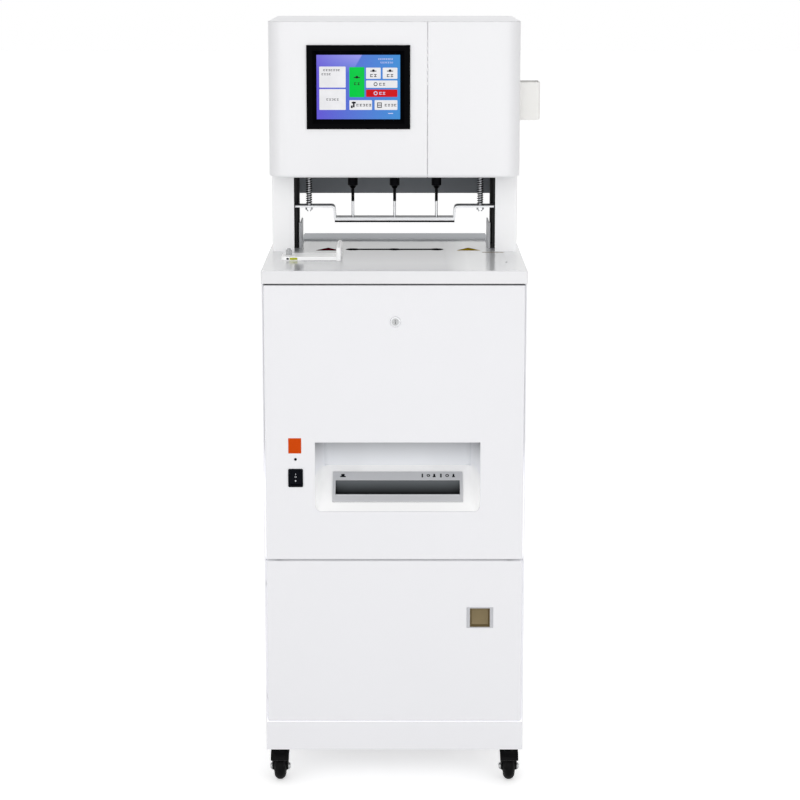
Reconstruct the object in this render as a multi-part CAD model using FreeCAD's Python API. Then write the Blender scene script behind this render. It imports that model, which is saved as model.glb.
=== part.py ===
"""Document riveting machine: a floor-standing cabinet with a work table, two pillars and a drilling head.

All sizes are millimetres. X runs across the machine (0 is its centreline while it is modelled), Y runs
from front to back and Z is up from the floor. Every piece is one node and is written as one STEP file.
"""

import FreeCAD, Part
import math
import os

V = FreeCAD.Vector

# ---- overall sizes ----
TABLE_W = 480.0            # work table, side to side
TABLE_D = 520.0            # work table, front to back
SHEET = 1.5                # sheet steel of the cabinet
PLINTH_H = 54.0
DOOR_H = 309.0             # lower door
PANEL_H = 510.0            # upper front panel
PLINTH_GAP = 1.5           # seam above the plinth
DOOR_GAP = 3.0             # seam above the lower door
TABLE_GAP = 3.0            # shadow gap under the table's front edge
FASCIA_H = 23.5            # folded front edge of the table
TABLE_T = 3.0              # thickness of the table's top
TABLE_OVERHANG = 1.0       # table beyond the cabinet, front and sides
SIDE_GAP = 1.2             # between a door's edge and the side panel
DOOR_T = 18.0              # depth of the folded doors
DOOR_EDGE_R = 2.0          # bend radius at a door's front, above and below
DOOR_SIDE_R = 3.0          # bend radius at its sides, so that the hinged edge turns inside its gap
POST = 20.0                # square posts of the inner frame
POST_WALL = 2.0
PAN_LIP = 22.0             # width of the inward flange round the base pan
TABLE_CORNER_R = 3.0
TABLE_EDGE_R = 1.5
LOUVRES = 7                # slots in each block of louvres
LOUVRE_PITCH = 14.0
LOUVRE_H = 5.0

# ---- head and throat ----
HEAD_W = 466.0
HEAD_H = 286.0
HEAD_D = 355.0
HEAD_INSET = 15.0          # head's rear in front of the table's rear edge
THROAT_H = 152.0           # table to the underside of the head
COVER_T = 3.0              # moulded head covers
COVER_D = 43.0             # how far a cover wraps round the side
COVER_R = 36.0             # rounded front corners of the head
COVER_BOTTOM_R = 6.0
HEAD_REAR_R = 8.0          # bends at the rear corners of the head
COVER_SEAM_X = 61.0        # seam between the two front covers
SEAM_GAP = 0.6
SEAM_R = 1.5               # rounded edges along that seam
HEAD_FLOOR_T = 3.0
PILLAR_W = 41.5
PILLAR_D = 150.0
PILLAR_INSET = 108.0       # a pillar's rear in front of the table's rear edge
BEAM_H = 56.5
BEAM_D = 18.0
BEAM_WALL = 2.0
TRAY_X = 182.5             # half width of the paper tray behind the drills
TRAY_D = 88.0              # the tray's floor, front to back
TRAY_INSET = 5.0           # its rear edge in front of the table's rear edge
TRAY_T = 3.0
CHEEK_FRONT = 210.5        # the tray's upright cheeks, from here in front of the table's rear edge
CHEEK_BACK = 124.0         # to here
CHEEK_H = 49.5
CHEEK_T = 2.5
CHEEK_HEM = 4.5            # hem at a cheek's front edge, turned outwards

# ---- drilling and pressing ----
DRILL_LINE = 230.0         # drill axes in front of the table's rear edge
DRILL_PITCH = 80.0         # hole spacing of the binding
DRILL_R = 2.6
DRILL_BORE_R = 1.7
DRILL_LEN = 33.5           # bare drill below its holder
SHANK_R = 2.9
CHUCK_R = 9.5
TIP_H = 60.0               # drill tip above the table when up
CHUCK_H = 124.3            # chuck's lower edge above the table when up
DRILL_STROKE = 61.0
COLUMN_R = 9.0
COLUMN_X = 192.0
COLLAR_R = 12.0            # collar at a column's foot
COLLAR_H = 8.0
COLUMN_INSET = 200.0
PRESS_D = 36.0             # press plate, front to back
PRESS_UNDER_H = 58.0       # underside of the press plate's steel above the table when up
PRESS_BAR_T = 5.8
PRESS_SHEET = 3.5
PRESS_BAR_X = 115.5        # half length of the low middle part
PRESS_END_X = 190.0
PRESS_STEP = 25.0          # flange underside above the bar's underside
PRESS_LEAN = 2.0           # how far that step leans outwards
RUBBER_T = 3.4
ROD_R = 4.0
ROD_X = 164.0
SPRING_R = 5.4
SPRING_WIRE_R = 0.8
SLOT_X = 92.0              # half length of the strip in the table that the drills end in
SLOT_W = 13.0
SLOT_BULGE_R = 9.5         # round widening of the strip at each drill
DIE_R = 11.0               # pads under the strip
DIE_DEPTH = 14.0
DIE_HOLE_R = 4.5
PINION_R = 20.0            # pitch radius
GEAR_MODULE = 2.0
SHAFT_R = 7.0
SHAFT_H = 279.0            # drive shaft above the table
RACK_X = 150.0
RACK_W = 14.0
RACK_LINE = 164.0          # pitch line of the racks in front of the table's rear edge
MOTOR_HALF = 60.0          # half length of the press motor's gear case
MOTOR_R = 24.0
SPINDLE_MOTOR_R = 30.0
SPINDLE_MOTOR_H = 66.0
PULLEY_R = 18.0
BELT_T = 2.0
BELT_W = 12.0

# ---- front panel fittings ----
RECESS_X = 6.0             # centre of the recess
RECESS_HALF = 151.0        # half width at the front
RECESS_BACK_HALF = 136.0   # half width at the back wall
RECESS_D = 90.0
RECESS_LOW = 90.5          # lower edge above the panel's lower edge
RECESS_H = 130.0
RECESS_SLOPE_H = 67.0      # rise of the sloping floor from front to back
RECESS_WALL = 2.0
RECESS_R = 12.0            # hollow corners at the sides of the recess
MOUTH_HALF = 120.5         # silver frame round the shredder's mouth
MOUTH_LOW = 22.5           # its lower edge, measured up the slope
MOUTH_LEN = 71.7
MOUTH_T = 2.5
SLIT_HALF = 115.0
SLIT_LOW = 35.4
SLIT_LEN = 38.3
SWITCH_X = -180.5
SWITCH_H = 154.3           # centre above the panel's lower edge
SWITCH_W = 27.0
SWITCH_TALL = 34.0
LAMP_H = 189.0
LAMP_R = 2.5
LOCK_X = 2.0
LOCK_H = 443.4             # centre above the panel's lower edge
LOCK_R = 9.7
PLUG_R = 6.0
CAM_LEN = 30.0
CAM_D = 23.0               # cam's front face behind the panel's skin
ROCKER_TILT = 8.0          # built-in tilt: the rocker rests with its lower end out
ROCKER_AXIS_D = 5.0
ROCKER_PIN_R = 1.2
PULL_X = 158.0
PULL_H = 201.0             # centre above the lower door's lower edge
PULL_W = 49.0
PULL_TALL = 39.0
PULL_D = 12.0
PULL_SIDE = 6.0            # width of the pull's strips left and right
PULL_LIP = 1.5             # and of its rims above and below

# ---- hinges ----
HINGE_INSET = 5.0          # axis in from a door's front and edge
PIN_R = 1.5
PIN_CLEAR = 0.08
ARM_TIP_R = 3.2
ARM_HALF = 2.5             # half width of an arm behind its tip
ARM_T = 4.0
EAR_T = 5.0
EAR_GAP = 0.3
PANEL_ARM_X = 212.0        # hinge arms of the front panel
DOOR_ARM_IN = 45.0         # hinge arms of the door, from its lower and its upper edge

# ---- screen, tube holder, guide, casters ----
SCREEN_X = -66.2
SCREEN_H = 166.8           # centre above the head's underside
BEZEL_W = 190.5
BEZEL_H = 153.6
BEZEL_PROUD = 4.0
GLASS_W = 153.6
GLASS_H = 117.6
HOLDER_W = 38.0
HOLDER_H = 70.0
HOLDER_D = 62.0
HOLDER_LOW = 103.0         # above the head's underside
HOLDER_SETBACK = 50.0      # behind the head's front
HOLDER_WALL = 2.0
GUIDE_FENCE_X = -103.5
GUIDE_FENCE_T = 8.5
GUIDE_FENCE_H = 25.0
GUIDE_ARM_X0 = -210.0
GUIDE_FRONT = 387.0        # front of the guide's arm, in front of the table's rear edge
GUIDE_ARM_D = 57.0
GUIDE_ARM_T = 7.0
GUIDE_FENCE_FRONT = 392.0
GUIDE_FENCE_D = 112.0
GUIDE_OUT = 8.0            # travel towards the left
GUIDE_IN = 25.0            # travel towards the middle
STUD_R = 3.0               # clamp stud
KNOB_R = 6.0
KNOB_NOTCHES = 12
KEY_W = 8.0                # slot in the table under the guide's arm
WHEEL_R = 25.0
WHEEL_W = 22.0
CASTER_ROOM = 17.0         # crown, bearing and top plate above the wheel
CASTER_SIDE = 25.0         # swivel axis from the table's left or right edge
CASTER_INSET = 46.0        # swivel axis from the front or the back of the table
CASTER_TRAIL = 18.0        # wheel axis in front of the swivel axis
AXLE_R = 4.0
TREAD_R = 11.0             # round of the tread, across the wheel
HUB_R = 9.0
HOOD_HALF = 17.0           # half width of the hood in front of the wheel
HOOD_UP = 19.0             # its lower edge above the axle
FORK_CHEEK = 2.5
RACE_T = 3.0
CROWN_T = 3.5
KING_PIN_R = 5.0

# ---- shredder and bin ----
CUTTER_R = 22.0
CUTTER_PITCH = 38.0        # distance between the two cutter shafts
CUTTER_DISC = 6.0
CUTTER_HALF = 112.0
CUTTER_DEPTH = 62.0        # cutters below the mouth, square to the slope
CUTTER_SHAFT_R = 7.0
SHRED_X = 122.0            # inner faces of the shredder's side plates
SHRED_PLATE_T = 4.0
BIN_X = 170.0              # half width of the waste bin
BIN_FRONT = 45.0
BIN_BACK = 330.0
BIN_WALL = 2.5
BIN_TAPER = 14.0
INLET_X = -170.0
INLET_UP = 60.0            # mains inlet above the plinth's top
INLET_W = 27.0
INLET_H = 20.0
RUN = 0.3                  # running gap between turning pieces
SLIDE = 0.08               # gap round a sliding rod, column or shaft

# ---- levels and planes that follow from the sizes ----
FRONT = -TABLE_D / 2
CASTER_H = 2 * WHEEL_R + CASTER_ROOM         # floor to the underside of the base pan
CASTER_X = TABLE_W / 2 - CASTER_SIDE
HOOD_LOW = WHEEL_R + HOOD_UP
PLINTH_TOP = CASTER_H + PLINTH_H
DOOR_Z = PLINTH_TOP + PLINTH_GAP
DOOR_TOP = DOOR_Z + DOOR_H
PANEL_Z = DOOR_TOP + DOOR_GAP
PANEL_TOP = PANEL_Z + PANEL_H
FASCIA_Z = PANEL_TOP + TABLE_GAP
TABLE_Z = FASCIA_Z + FASCIA_H
HEAD_Z = TABLE_Z + THROAT_H
HEAD_TOP = HEAD_Z + HEAD_H
CAB_X = TABLE_W / 2 - TABLE_OVERHANG         # outer face of a side panel
INNER_X = CAB_X - SHEET                      # inner face of a side panel
DOOR_X = INNER_X - SIDE_GAP                  # edge of a door
CENTRE_SHIFT = -(HEAD_W / 2 + HOLDER_W - TABLE_W / 2) / 2   # puts the origin under the middle of the box


def back(distance):
    """Y of a plane this far behind the table's front edge."""
    return FRONT + distance


def ahead(distance):
    """Y of a plane this far in front of the table's rear edge."""
    return -FRONT - distance


CAB_FRONT = back(TABLE_OVERHANG)
CAB_REAR = ahead(TABLE_OVERHANG)
HEAD_REAR = ahead(HEAD_INSET)
HEAD_FRONT = HEAD_REAR - HEAD_D
DRILL_Y = ahead(DRILL_LINE)
DRILL_XS = (-DRILL_PITCH, 0.0, DRILL_PITCH)
COLUMN_Y = ahead(COLUMN_INSET)
CARRIAGE_Z = HEAD_Z + HEAD_FLOOR_T + DRILL_STROKE + 3.0
CARRIAGE_T = 32.0
BAR_Z = TABLE_Z + PRESS_UNDER_H
FLANGE_Z = BAR_Z + PRESS_STEP
FLANGE_TOP = FLANGE_Z + PRESS_SHEET
SHAFT_Z = TABLE_Z + SHAFT_H
COLUMN_TOP = HEAD_TOP - 20.0
ROD_TOP = CARRIAGE_Z + CARRIAGE_T + 26.0
HEAD_FLOOR_FRONT = HEAD_FRONT + COVER_D + 2.5
SHELL_FRONT = HEAD_FRONT + COVER_D + 2.0
POST_FRONT = CAB_FRONT + DOOR_T + 3.0
RAIL_TOP = PANEL_Z + HINGE_INSET - ARM_HALF   # rail behind the seam, under the panel's hinge arms
SHELF_Z = DOOR_TOP + 10.0                     # top of the shelf that carries the shredder
SIDE_TOP = FASCIA_Z - 0.2                     # top of the side and rear panels, just under the table
INLET_Z = PLINTH_TOP + INLET_UP
DOOR_HINGE_ZS = (DOOR_Z + DOOR_ARM_IN, DOOR_TOP - DOOR_ARM_IN)
GUIDE_Y = ahead(GUIDE_FRONT - GUIDE_ARM_D / 2)
KNOB_X = GUIDE_ARM_X0 + 13.0
KEY_X0 = KNOB_X + 6.0
KEY_X1 = KNOB_X + 19.0
FORK_INNER = WHEEL_W / 2 + 1.5


# ---- shape helpers ----
def block(x0, x1, y0, y1, z0, z1):
    return Part.makeBox(x1 - x0, y1 - y0, z1 - z0, V(x0, y0, z0))


def rod(radius, start, end):
    """A round bar from one point to another."""
    way = V(*end) - V(*start)
    return Part.makeCylinder(radius, way.Length, V(*start), way)


def cone(radius_a, radius_b, start, end):
    way = V(*end) - V(*start)
    return Part.makeCone(radius_a, radius_b, way.Length, V(*start), way)


def prism(points, along):
    """A flat outline pulled along a direction."""
    corners = [V(*point) for point in points]
    return Part.Face(Part.makePolygon(corners + corners[:1])).extrude(V(*along))


def pipe(radius, wall, start, end):
    return rod(radius, start, end).cut(rod(radius - wall, start, end))


def turned(profile, centre, axis="z"):
    """A closed outline of (radius, height) points turned round an axis through centre."""
    corners = [V(radius, 0, height) for radius, height in profile]
    face = Part.Face(Part.makePolygon(corners + corners[:1]))
    shape = face.revolve(V(0, 0, 0), V(0, 0, 1), 360)
    if axis == "x":
        shape.rotate(V(0, 0, 0), V(0, 1, 0), 90)
    if axis == "y":
        shape.rotate(V(0, 0, 0), V(1, 0, 0), -90)
    shape.translate(V(*centre))
    return shape


def rounded(shape, radius, wanted):
    """Rounds the edges for which wanted(edge middle, edge direction) is true."""
    chosen = []
    for edge in shape.Edges:
        middle = edge.valueAt((edge.FirstParameter + edge.LastParameter) / 2)
        way = (edge.Vertexes[-1].Point - edge.Vertexes[0].Point)
        if wanted(middle, way):
            chosen.append(edge)
    return shape.makeFillet(radius, chosen)


def upright(way):
    return abs(way.z) > 0.99 * way.Length > 0


def near(value, target):
    return abs(value - target) < 0.01


def mirrored(shape):
    return shape.mirror(V(0, 0, 0), V(1, 0, 0))


def both_sides(shape):
    """A piece and its mirror image, as two solids of one node."""
    return Part.makeCompound([shape, mirrored(shape)])


def box_tube(x0, x1, y0, y1, z0, z1, wall):
    """A square tube that runs along X."""
    return block(x0, x1, y0, y1, z0, z1).cut(block(x0, x1, y0 + wall, y1 - wall, z0 + wall, z1 - wall))


def gear(teeth, module, width, centre, turn=0.0, bore=0.0):
    """A spur gear on an X axis: straight-flanked teeth, a little thinner than their gaps."""
    pitch_r = teeth * module / 2
    root_r = pitch_r - 1.2 * module
    tip_r = pitch_r + 0.9 * module
    shape = rod(root_r, (0, 0, 0), (width, 0, 0))
    at_root = 0.95 * module
    at_tip = 0.36 * module
    for tooth in range(teeth):
        points = [(0, root_r - 0.4, -at_root), (0, tip_r, -at_tip), (0, tip_r, at_tip),
                  (0, root_r - 0.4, at_root)]
        solid = prism(points, (width, 0, 0))
        solid.rotate(V(0, 0, 0), V(1, 0, 0), turn + 360.0 * tooth / teeth)
        shape = shape.fuse(solid)
    if bore:
        shape = shape.cut(rod(bore, (-1, 0, 0), (width + 1, 0, 0)))
    shape = shape.removeSplitter()
    shape.translate(V(*centre))
    return shape


def tray(x0, x1, z0, z1, y_front, depth):
    """A folded door: a front skin with flanges all round, open at the back, soft front edges."""
    solid = block(x0, x1, y_front, y_front + depth, z0, z1)
    solid = rounded(solid, DOOR_SIDE_R, lambda at, way: near(at.y, y_front) and upright(way))
    solid = rounded(solid, DOOR_EDGE_R,
                    lambda at, way: near(at.y, y_front) and abs(way.x) > 9 and abs(way.z) < 1)
    inner = block(x0 + SHEET, x1 - SHEET, y_front + SHEET, y_front + depth, z0 + SHEET, z1 - SHEET)
    return solid.cut(inner)


# ---- cabinet ----
def base_pan():
    """Plinth: a deep tray with an inward flange round its top."""
    y1 = CAB_REAR - 2 * SHEET
    pan = block(-INNER_X + 0.1, INNER_X - 0.1, CAB_FRONT, y1, CASTER_H, PLINTH_TOP)
    inner = INNER_X - 0.1 - SHEET
    pan = pan.cut(block(-inner, inner, CAB_FRONT + SHEET, y1 - SHEET, CASTER_H + 3, PLINTH_TOP - SHEET))
    hole_x = inner - PAN_LIP
    hole = block(-hole_x, hole_x, CAB_FRONT + SHEET + PAN_LIP, y1 - PAN_LIP, CASTER_H + 10, PLINTH_TOP + 1)
    return pan.cut(hole)


def side_panel():
    """Right side panel, with a folded edge at the top and at the back."""
    panel = block(INNER_X, CAB_X, CAB_FRONT, CAB_REAR, CASTER_H, SIDE_TOP)
    top_fold = block(INNER_X - 18, INNER_X, CAB_FRONT + 40, CAB_REAR - 2 * SHEET, SIDE_TOP - SHEET, SIDE_TOP)
    rear_fold = block(INNER_X - 15, INNER_X, CAB_REAR - 2 * SHEET, CAB_REAR - SHEET, CASTER_H, SIDE_TOP)
    return panel.fuse([top_fold, rear_fold]).removeSplitter()


def louvres(x0, x1, wall_y, z_first):
    """A block of slots through a rear wall."""
    slots = []
    for i in range(LOUVRES):
        z = z_first + LOUVRE_PITCH * i
        slots.append(block(x0, x1, wall_y - 5, wall_y + 5, z, z + LOUVRE_H))
    return slots


def rear_panel():
    panel = block(-INNER_X, INNER_X, CAB_REAR - SHEET, CAB_REAR, CASTER_H, SIDE_TOP)
    cuts = louvres(-70, 70, CAB_REAR, PANEL_Z + 330)
    cuts.append(block(INLET_X - INLET_W / 2, INLET_X + INLET_W / 2, CAB_REAR - 5, CAB_REAR + 5,
                      INLET_Z - INLET_H / 2, INLET_Z + INLET_H / 2))
    return panel.cut(cuts)


def inner_frame():
    """Four posts, the rails that the doors close against, and the striker plate of the lock."""
    x1 = INNER_X - 0.2
    z0, z1 = PLINTH_TOP, TABLE_Z - TABLE_T
    pieces = []
    for y0 in (POST_FRONT, CAB_REAR - 2 * SHEET - 0.2 - POST):
        post = block(x1 - POST, x1, y0, y0 + POST, z0, z1)
        post = post.cut(block(x1 - POST, x1 - POST_WALL, y0 + POST_WALL, y0 + POST, z0, z1))
        post = post.cut(block(x1 - 18 - SHEET, x1 + 1, y0 - 1, y0 + POST + 1, FASCIA_Z - 2.2, FASCIA_Z))
        pieces.append(post)
    rail_x = x1 - POST
    rails = []
    for z0 in (RAIL_TOP - POST, PANEL_TOP - 4.0):
        rails.append(box_tube(-rail_x, rail_x, POST_FRONT, POST_FRONT + POST, z0, z0 + POST, POST_WALL))
    striker_z = PANEL_Z + LOCK_H + 15.0
    striker = block(LOCK_X - 22, LOCK_X + 22, POST_FRONT - 2, POST_FRONT, striker_z, PANEL_TOP + 10)
    posts = [piece for post in pieces for piece in (post, mirrored(post))]
    return Part.makeCompound(posts + rails + [striker])


def mid_shelf():
    """Shelf between the two halves of the cabinet, open under the cutters."""
    x1 = INNER_X - 0.2 - POST - 0.2
    shelf = block(-x1, x1, POST_FRONT + POST + 0.2, CAB_REAR - 2 * SHEET - 0.4, SHELF_Z - 2, SHELF_Z)
    fold = block(-x1, x1, CAB_REAR - 2 * SHEET - 2.4, CAB_REAR - 2 * SHEET - 0.4, SHELF_Z - 20, SHELF_Z)
    chute_x = SHRED_X - 6
    chute = block(RECESS_X - chute_x, RECESS_X + chute_x, back(48), back(140), SHELF_Z - 5, SHELF_Z + 5)
    return shelf.fuse(fold).cut(chute)


def table_top():
    """Glossy top, folded down all round, with the drill slot and the guide's slot."""
    top = block(-TABLE_W / 2, TABLE_W / 2, FRONT, -FRONT, FASCIA_Z, TABLE_Z)
    top = rounded(top, TABLE_CORNER_R, lambda at, way: upright(way))
    top = rounded(top, TABLE_EDGE_R, lambda at, way: near(at.z, TABLE_Z))
    x1, y1 = TABLE_W / 2 - SHEET, TABLE_D / 2 - SHEET
    under = block(-x1, x1, -y1, y1, FASCIA_Z, TABLE_Z - TABLE_T)
    return top.cut([under, drill_strip(0.0, TABLE_Z - 9, TABLE_Z + 1), guide_slot(KEY_W)])


def drill_strip(gap, z0, z1):
    """Outline of the strip that the drills end in, this much smaller all round."""
    half = SLOT_W / 2 - gap
    strip = block(-SLOT_X + gap, SLOT_X - gap, DRILL_Y - half, DRILL_Y + half, z0, z1)
    bulges = [rod(SLOT_BULGE_R - gap, (x, DRILL_Y, z0), (x, DRILL_Y, z1)) for x in DRILL_XS]
    return strip.fuse(bulges)


def guide_slot(width):
    """Slot for the guide's key and clamp stud, hidden by the arm where the guide usually stands."""
    x0, x1 = KNOB_X - STUD_R - GUIDE_OUT - 1, KEY_X1 + GUIDE_IN + 1
    return block(x0, x1, GUIDE_Y - width / 2, GUIDE_Y + width / 2, TABLE_Z - 9, TABLE_Z + 1)


def rear_tray():
    """Grey paper support behind the drills, with an upright cheek at each side in front of it."""
    y_front, y_rear = ahead(TRAY_INSET + TRAY_D), ahead(TRAY_INSET)
    floor = block(-TRAY_X, TRAY_X, y_front, y_rear, TABLE_Z, TABLE_Z + TRAY_T)
    floor = rounded(floor, 1.5, lambda at, way: near(at.y, y_front) and near(at.z, TABLE_Z + TRAY_T))
    x = TRAY_X - CHEEK_T
    y0, y1 = ahead(CHEEK_FRONT), ahead(CHEEK_BACK)
    low, high = TABLE_Z + TRAY_T, TABLE_Z + CHEEK_H
    outline = [(y0, TABLE_Z), (y0, high), (y1 - 5, high), (y1, high - 5), (y1, low), (y_front + 5, low),
               (y_front + 5, TABLE_Z)]
    cheek = prism([(x, y, z) for y, z in outline], (CHEEK_T, 0, 0))
    hem = block(x, x + CHEEK_HEM, y0, y0 + SHEET, TABLE_Z, high)
    collar_top = TABLE_Z + COLLAR_H + 0.6
    collar = rod(COLLAR_R + 0.6, (COLUMN_X, COLUMN_Y, TABLE_Z - 1), (COLUMN_X, COLUMN_Y, collar_top))
    cheek = cheek.fuse(hem).cut(collar)
    return floor.fuse([cheek, mirrored(cheek)]).removeSplitter()


def drill_dies():
    """Black strip flush with the table, with a pad under each drill and a blind hole for its tip."""
    under = TABLE_Z - TABLE_T
    pads = [rod(DIE_R, (x, DRILL_Y, under - DIE_DEPTH), (x, DRILL_Y, under)) for x in DRILL_XS]
    holes = [rod(DIE_HOLE_R, (x, DRILL_Y, TABLE_Z - 9), (x, DRILL_Y, TABLE_Z + 1)) for x in DRILL_XS]
    return drill_strip(0.1, under, TABLE_Z).fuse(pads).cut(holes).removeSplitter()


def pillars():
    """Two steel channels, open towards the middle, with a foot plate each."""
    x0, x1 = HEAD_W / 2 - PILLAR_W, HEAD_W / 2
    y0, y1 = ahead(PILLAR_INSET + PILLAR_D), ahead(PILLAR_INSET)
    channel = block(x0, x1, y0, y1, TABLE_Z, HEAD_Z)
    channel = rounded(channel, 3.0, lambda at, way: upright(way) and near(at.x, x1))
    channel = channel.cut(block(x0, x1 - SHEET, y0 + SHEET, y1 - SHEET, TABLE_Z, HEAD_Z))
    foot = block(COLUMN_X + COLLAR_R + 1, x1 - SHEET, y0 + SHEET, y1 - SHEET, TABLE_Z, TABLE_Z + 3)
    return both_sides(channel.fuse(foot).removeSplitter())


def guide_columns():
    """Black round columns that guide the carriage, with a collar at the table."""
    column = rod(COLUMN_R, (COLUMN_X, COLUMN_Y, TABLE_Z), (COLUMN_X, COLUMN_Y, COLUMN_TOP))
    collar = rod(COLLAR_R, (COLUMN_X, COLUMN_Y, TABLE_Z), (COLUMN_X, COLUMN_Y, TABLE_Z + COLLAR_H))
    return both_sides(column.fuse(collar).removeSplitter())


def rear_beam():
    """Square tube that ties the pillars together behind the throat."""
    y0 = ahead(PILLAR_INSET)
    return box_tube(-HEAD_W / 2, HEAD_W / 2, y0, y0 + BEAM_D, HEAD_Z - BEAM_H, HEAD_Z, BEAM_WALL)


# ---- head ----
def head_shell():
    """Top, sides and back of the head in one folded sheet, open at the front and below."""
    x1, y0 = HEAD_W / 2, SHELL_FRONT
    shell = block(-x1, x1, y0, HEAD_REAR, HEAD_Z, HEAD_TOP)
    shell = rounded(shell, HEAD_REAR_R, lambda at, way: upright(way) and near(at.y, HEAD_REAR))
    shell = rounded(shell, 2.0, lambda at, way: near(at.z, HEAD_TOP) and not near(at.y, y0))
    inner_y = HEAD_REAR - SHEET
    hollow = block(-x1 + SHEET, x1 - SHEET, y0, inner_y, HEAD_Z, HEAD_TOP - SHEET)
    hollow = rounded(hollow, HEAD_REAR_R - SHEET, lambda at, way: upright(way) and near(at.y, inner_y))
    shell = shell.cut(hollow)
    inner = x1 - COVER_T - 0.2
    lid = block(-inner, inner, HEAD_FRONT + COVER_T + 0.2, y0, HEAD_TOP - SHEET, HEAD_TOP)
    lid = rounded(lid, min(COVER_R, COVER_D - 1) - COVER_T, lambda at, way: upright(way) and at.y < y0 - 1)
    shell = shell.fuse(lid).removeSplitter()
    cuts = []
    for x in (-130.0, 30.0):
        cuts += louvres(x, x + 100, HEAD_REAR, HEAD_Z + 150)
    return shell.cut(cuts)


def head_floor():
    """Steel plate on the pillars, with openings for the spindles, rods and columns."""
    x1 = HEAD_W / 2 - SHEET - 0.1
    floor = block(-x1, x1, HEAD_FLOOR_FRONT, HEAD_REAR - SHEET - 0.1, HEAD_Z, HEAD_Z + HEAD_FLOOR_T)
    floor = rounded(floor, HEAD_REAR_R, lambda at, way: upright(way) and at.y > HEAD_FLOOR_FRONT + 1)
    reach = DRILL_PITCH + CHUCK_R + 6
    cuts = [block(-reach, reach, DRILL_Y - CHUCK_R - 5, DRILL_Y + CHUCK_R + 5, HEAD_Z - 1, HEAD_Z + 9)]
    for side in (-1, 1):
        x = side * ROD_X
        cuts.append(rod(SPRING_R + SPRING_WIRE_R + 3, (x, DRILL_Y, HEAD_Z - 1), (x, DRILL_Y, HEAD_Z + 9)))
        x = side * COLUMN_X
        cuts.append(rod(COLUMN_R, (x, COLUMN_Y, HEAD_Z - 1), (x, COLUMN_Y, HEAD_Z + 9)))
    return floor.cut(cuts)


def cover_blank():
    """Both front covers as one moulding, closed below and open at the top and the back."""
    x1, y0, y1 = HEAD_W / 2, HEAD_FRONT, HEAD_FRONT + COVER_D
    outer = block(-x1, x1, y0, y1, HEAD_Z, HEAD_TOP)
    corner_r = min(COVER_R, COVER_D - 1)
    outer = rounded(outer, corner_r, lambda at, way: upright(way) and near(at.y, y0))
    outer = rounded(outer, COVER_BOTTOM_R, lambda at, way: near(at.z, HEAD_Z) and at.y < y1 - 1)
    x1, y0 = x1 - COVER_T, y0 + COVER_T
    inner = block(-x1, x1, y0, y1 + 40, HEAD_Z + COVER_T, HEAD_TOP + 40)
    inner = rounded(inner, corner_r - COVER_T, lambda at, way: upright(way) and near(at.y, y0))
    return outer.cut(inner)


def screen_hole(extra):
    """The space of the screen's bezel, this much smaller all round."""
    z = HEAD_Z + SCREEN_H
    w, h = BEZEL_W / 2 - extra, BEZEL_H / 2 - extra
    return block(SCREEN_X - w, SCREEN_X + w, HEAD_FRONT - 20, HEAD_FRONT + 30, z - h, z + h)


def head_front_cover():
    seam = COVER_SEAM_X - SEAM_GAP / 2
    left = block(-HEAD_W, seam, HEAD_FRONT - 1, HEAD_FRONT + 99, HEAD_Z - 1, HEAD_TOP + 1)
    return soft_seam(cover_blank().common(left), seam).cut(screen_hole(4.0))


def head_right_cover():
    seam = COVER_SEAM_X + SEAM_GAP / 2
    right = block(seam, HEAD_W, HEAD_FRONT - 1, HEAD_FRONT + 99, HEAD_Z - 1, HEAD_TOP + 1)
    return soft_seam(cover_blank().common(right), seam)


def soft_seam(cover, seam_x):
    """A cover with its front edge along the seam rounded."""
    return rounded(cover, SEAM_R,
                   lambda at, way: upright(way) and near(at.x, seam_x) and near(at.y, HEAD_FRONT))


def screen_bezel():
    """Black frame with a sloping inner edge, clipped into the cover's opening."""
    z = HEAD_Z + SCREEN_H
    y0 = HEAD_FRONT - BEZEL_PROUD
    w, h = BEZEL_W / 2, BEZEL_H / 2
    rim = block(SCREEN_X - w, SCREEN_X + w, y0, HEAD_FRONT, z - h, z + h)
    rim = rounded(rim, 2.0, lambda at, way: near(at.y, y0))
    w, h = w - 4.2, h - 4.2
    neck = block(SCREEN_X - w, SCREEN_X + w, HEAD_FRONT, HEAD_FRONT + 14, z - h, z + h)
    frame = rim.fuse(neck).removeSplitter()
    faces = []
    for grow, y in ((9.0, y0 - 1), (0.0, HEAD_FRONT + 4)):
        w, h = GLASS_W / 2 + grow, GLASS_H / 2 + grow
        corners = ((-1, -1), (1, -1), (1, 1), (-1, 1), (-1, -1))
        faces.append(Part.makePolygon([V(SCREEN_X + sx * w, y, z + sz * h) for sx, sz in corners]))
    slope = Part.makeLoft(faces, True, True)
    glass_seat = block(SCREEN_X - GLASS_W / 2, SCREEN_X + GLASS_W / 2, HEAD_FRONT, HEAD_FRONT + 20,
                       z - GLASS_H / 2, z + GLASS_H / 2)
    return frame.cut([slope, glass_seat])


def screen_glass():
    z = HEAD_Z + SCREEN_H
    w, h = GLASS_W / 2, GLASS_H / 2
    return block(SCREEN_X - w, SCREEN_X + w, HEAD_FRONT + 4, HEAD_FRONT + 12, z - h, z + h)


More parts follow.
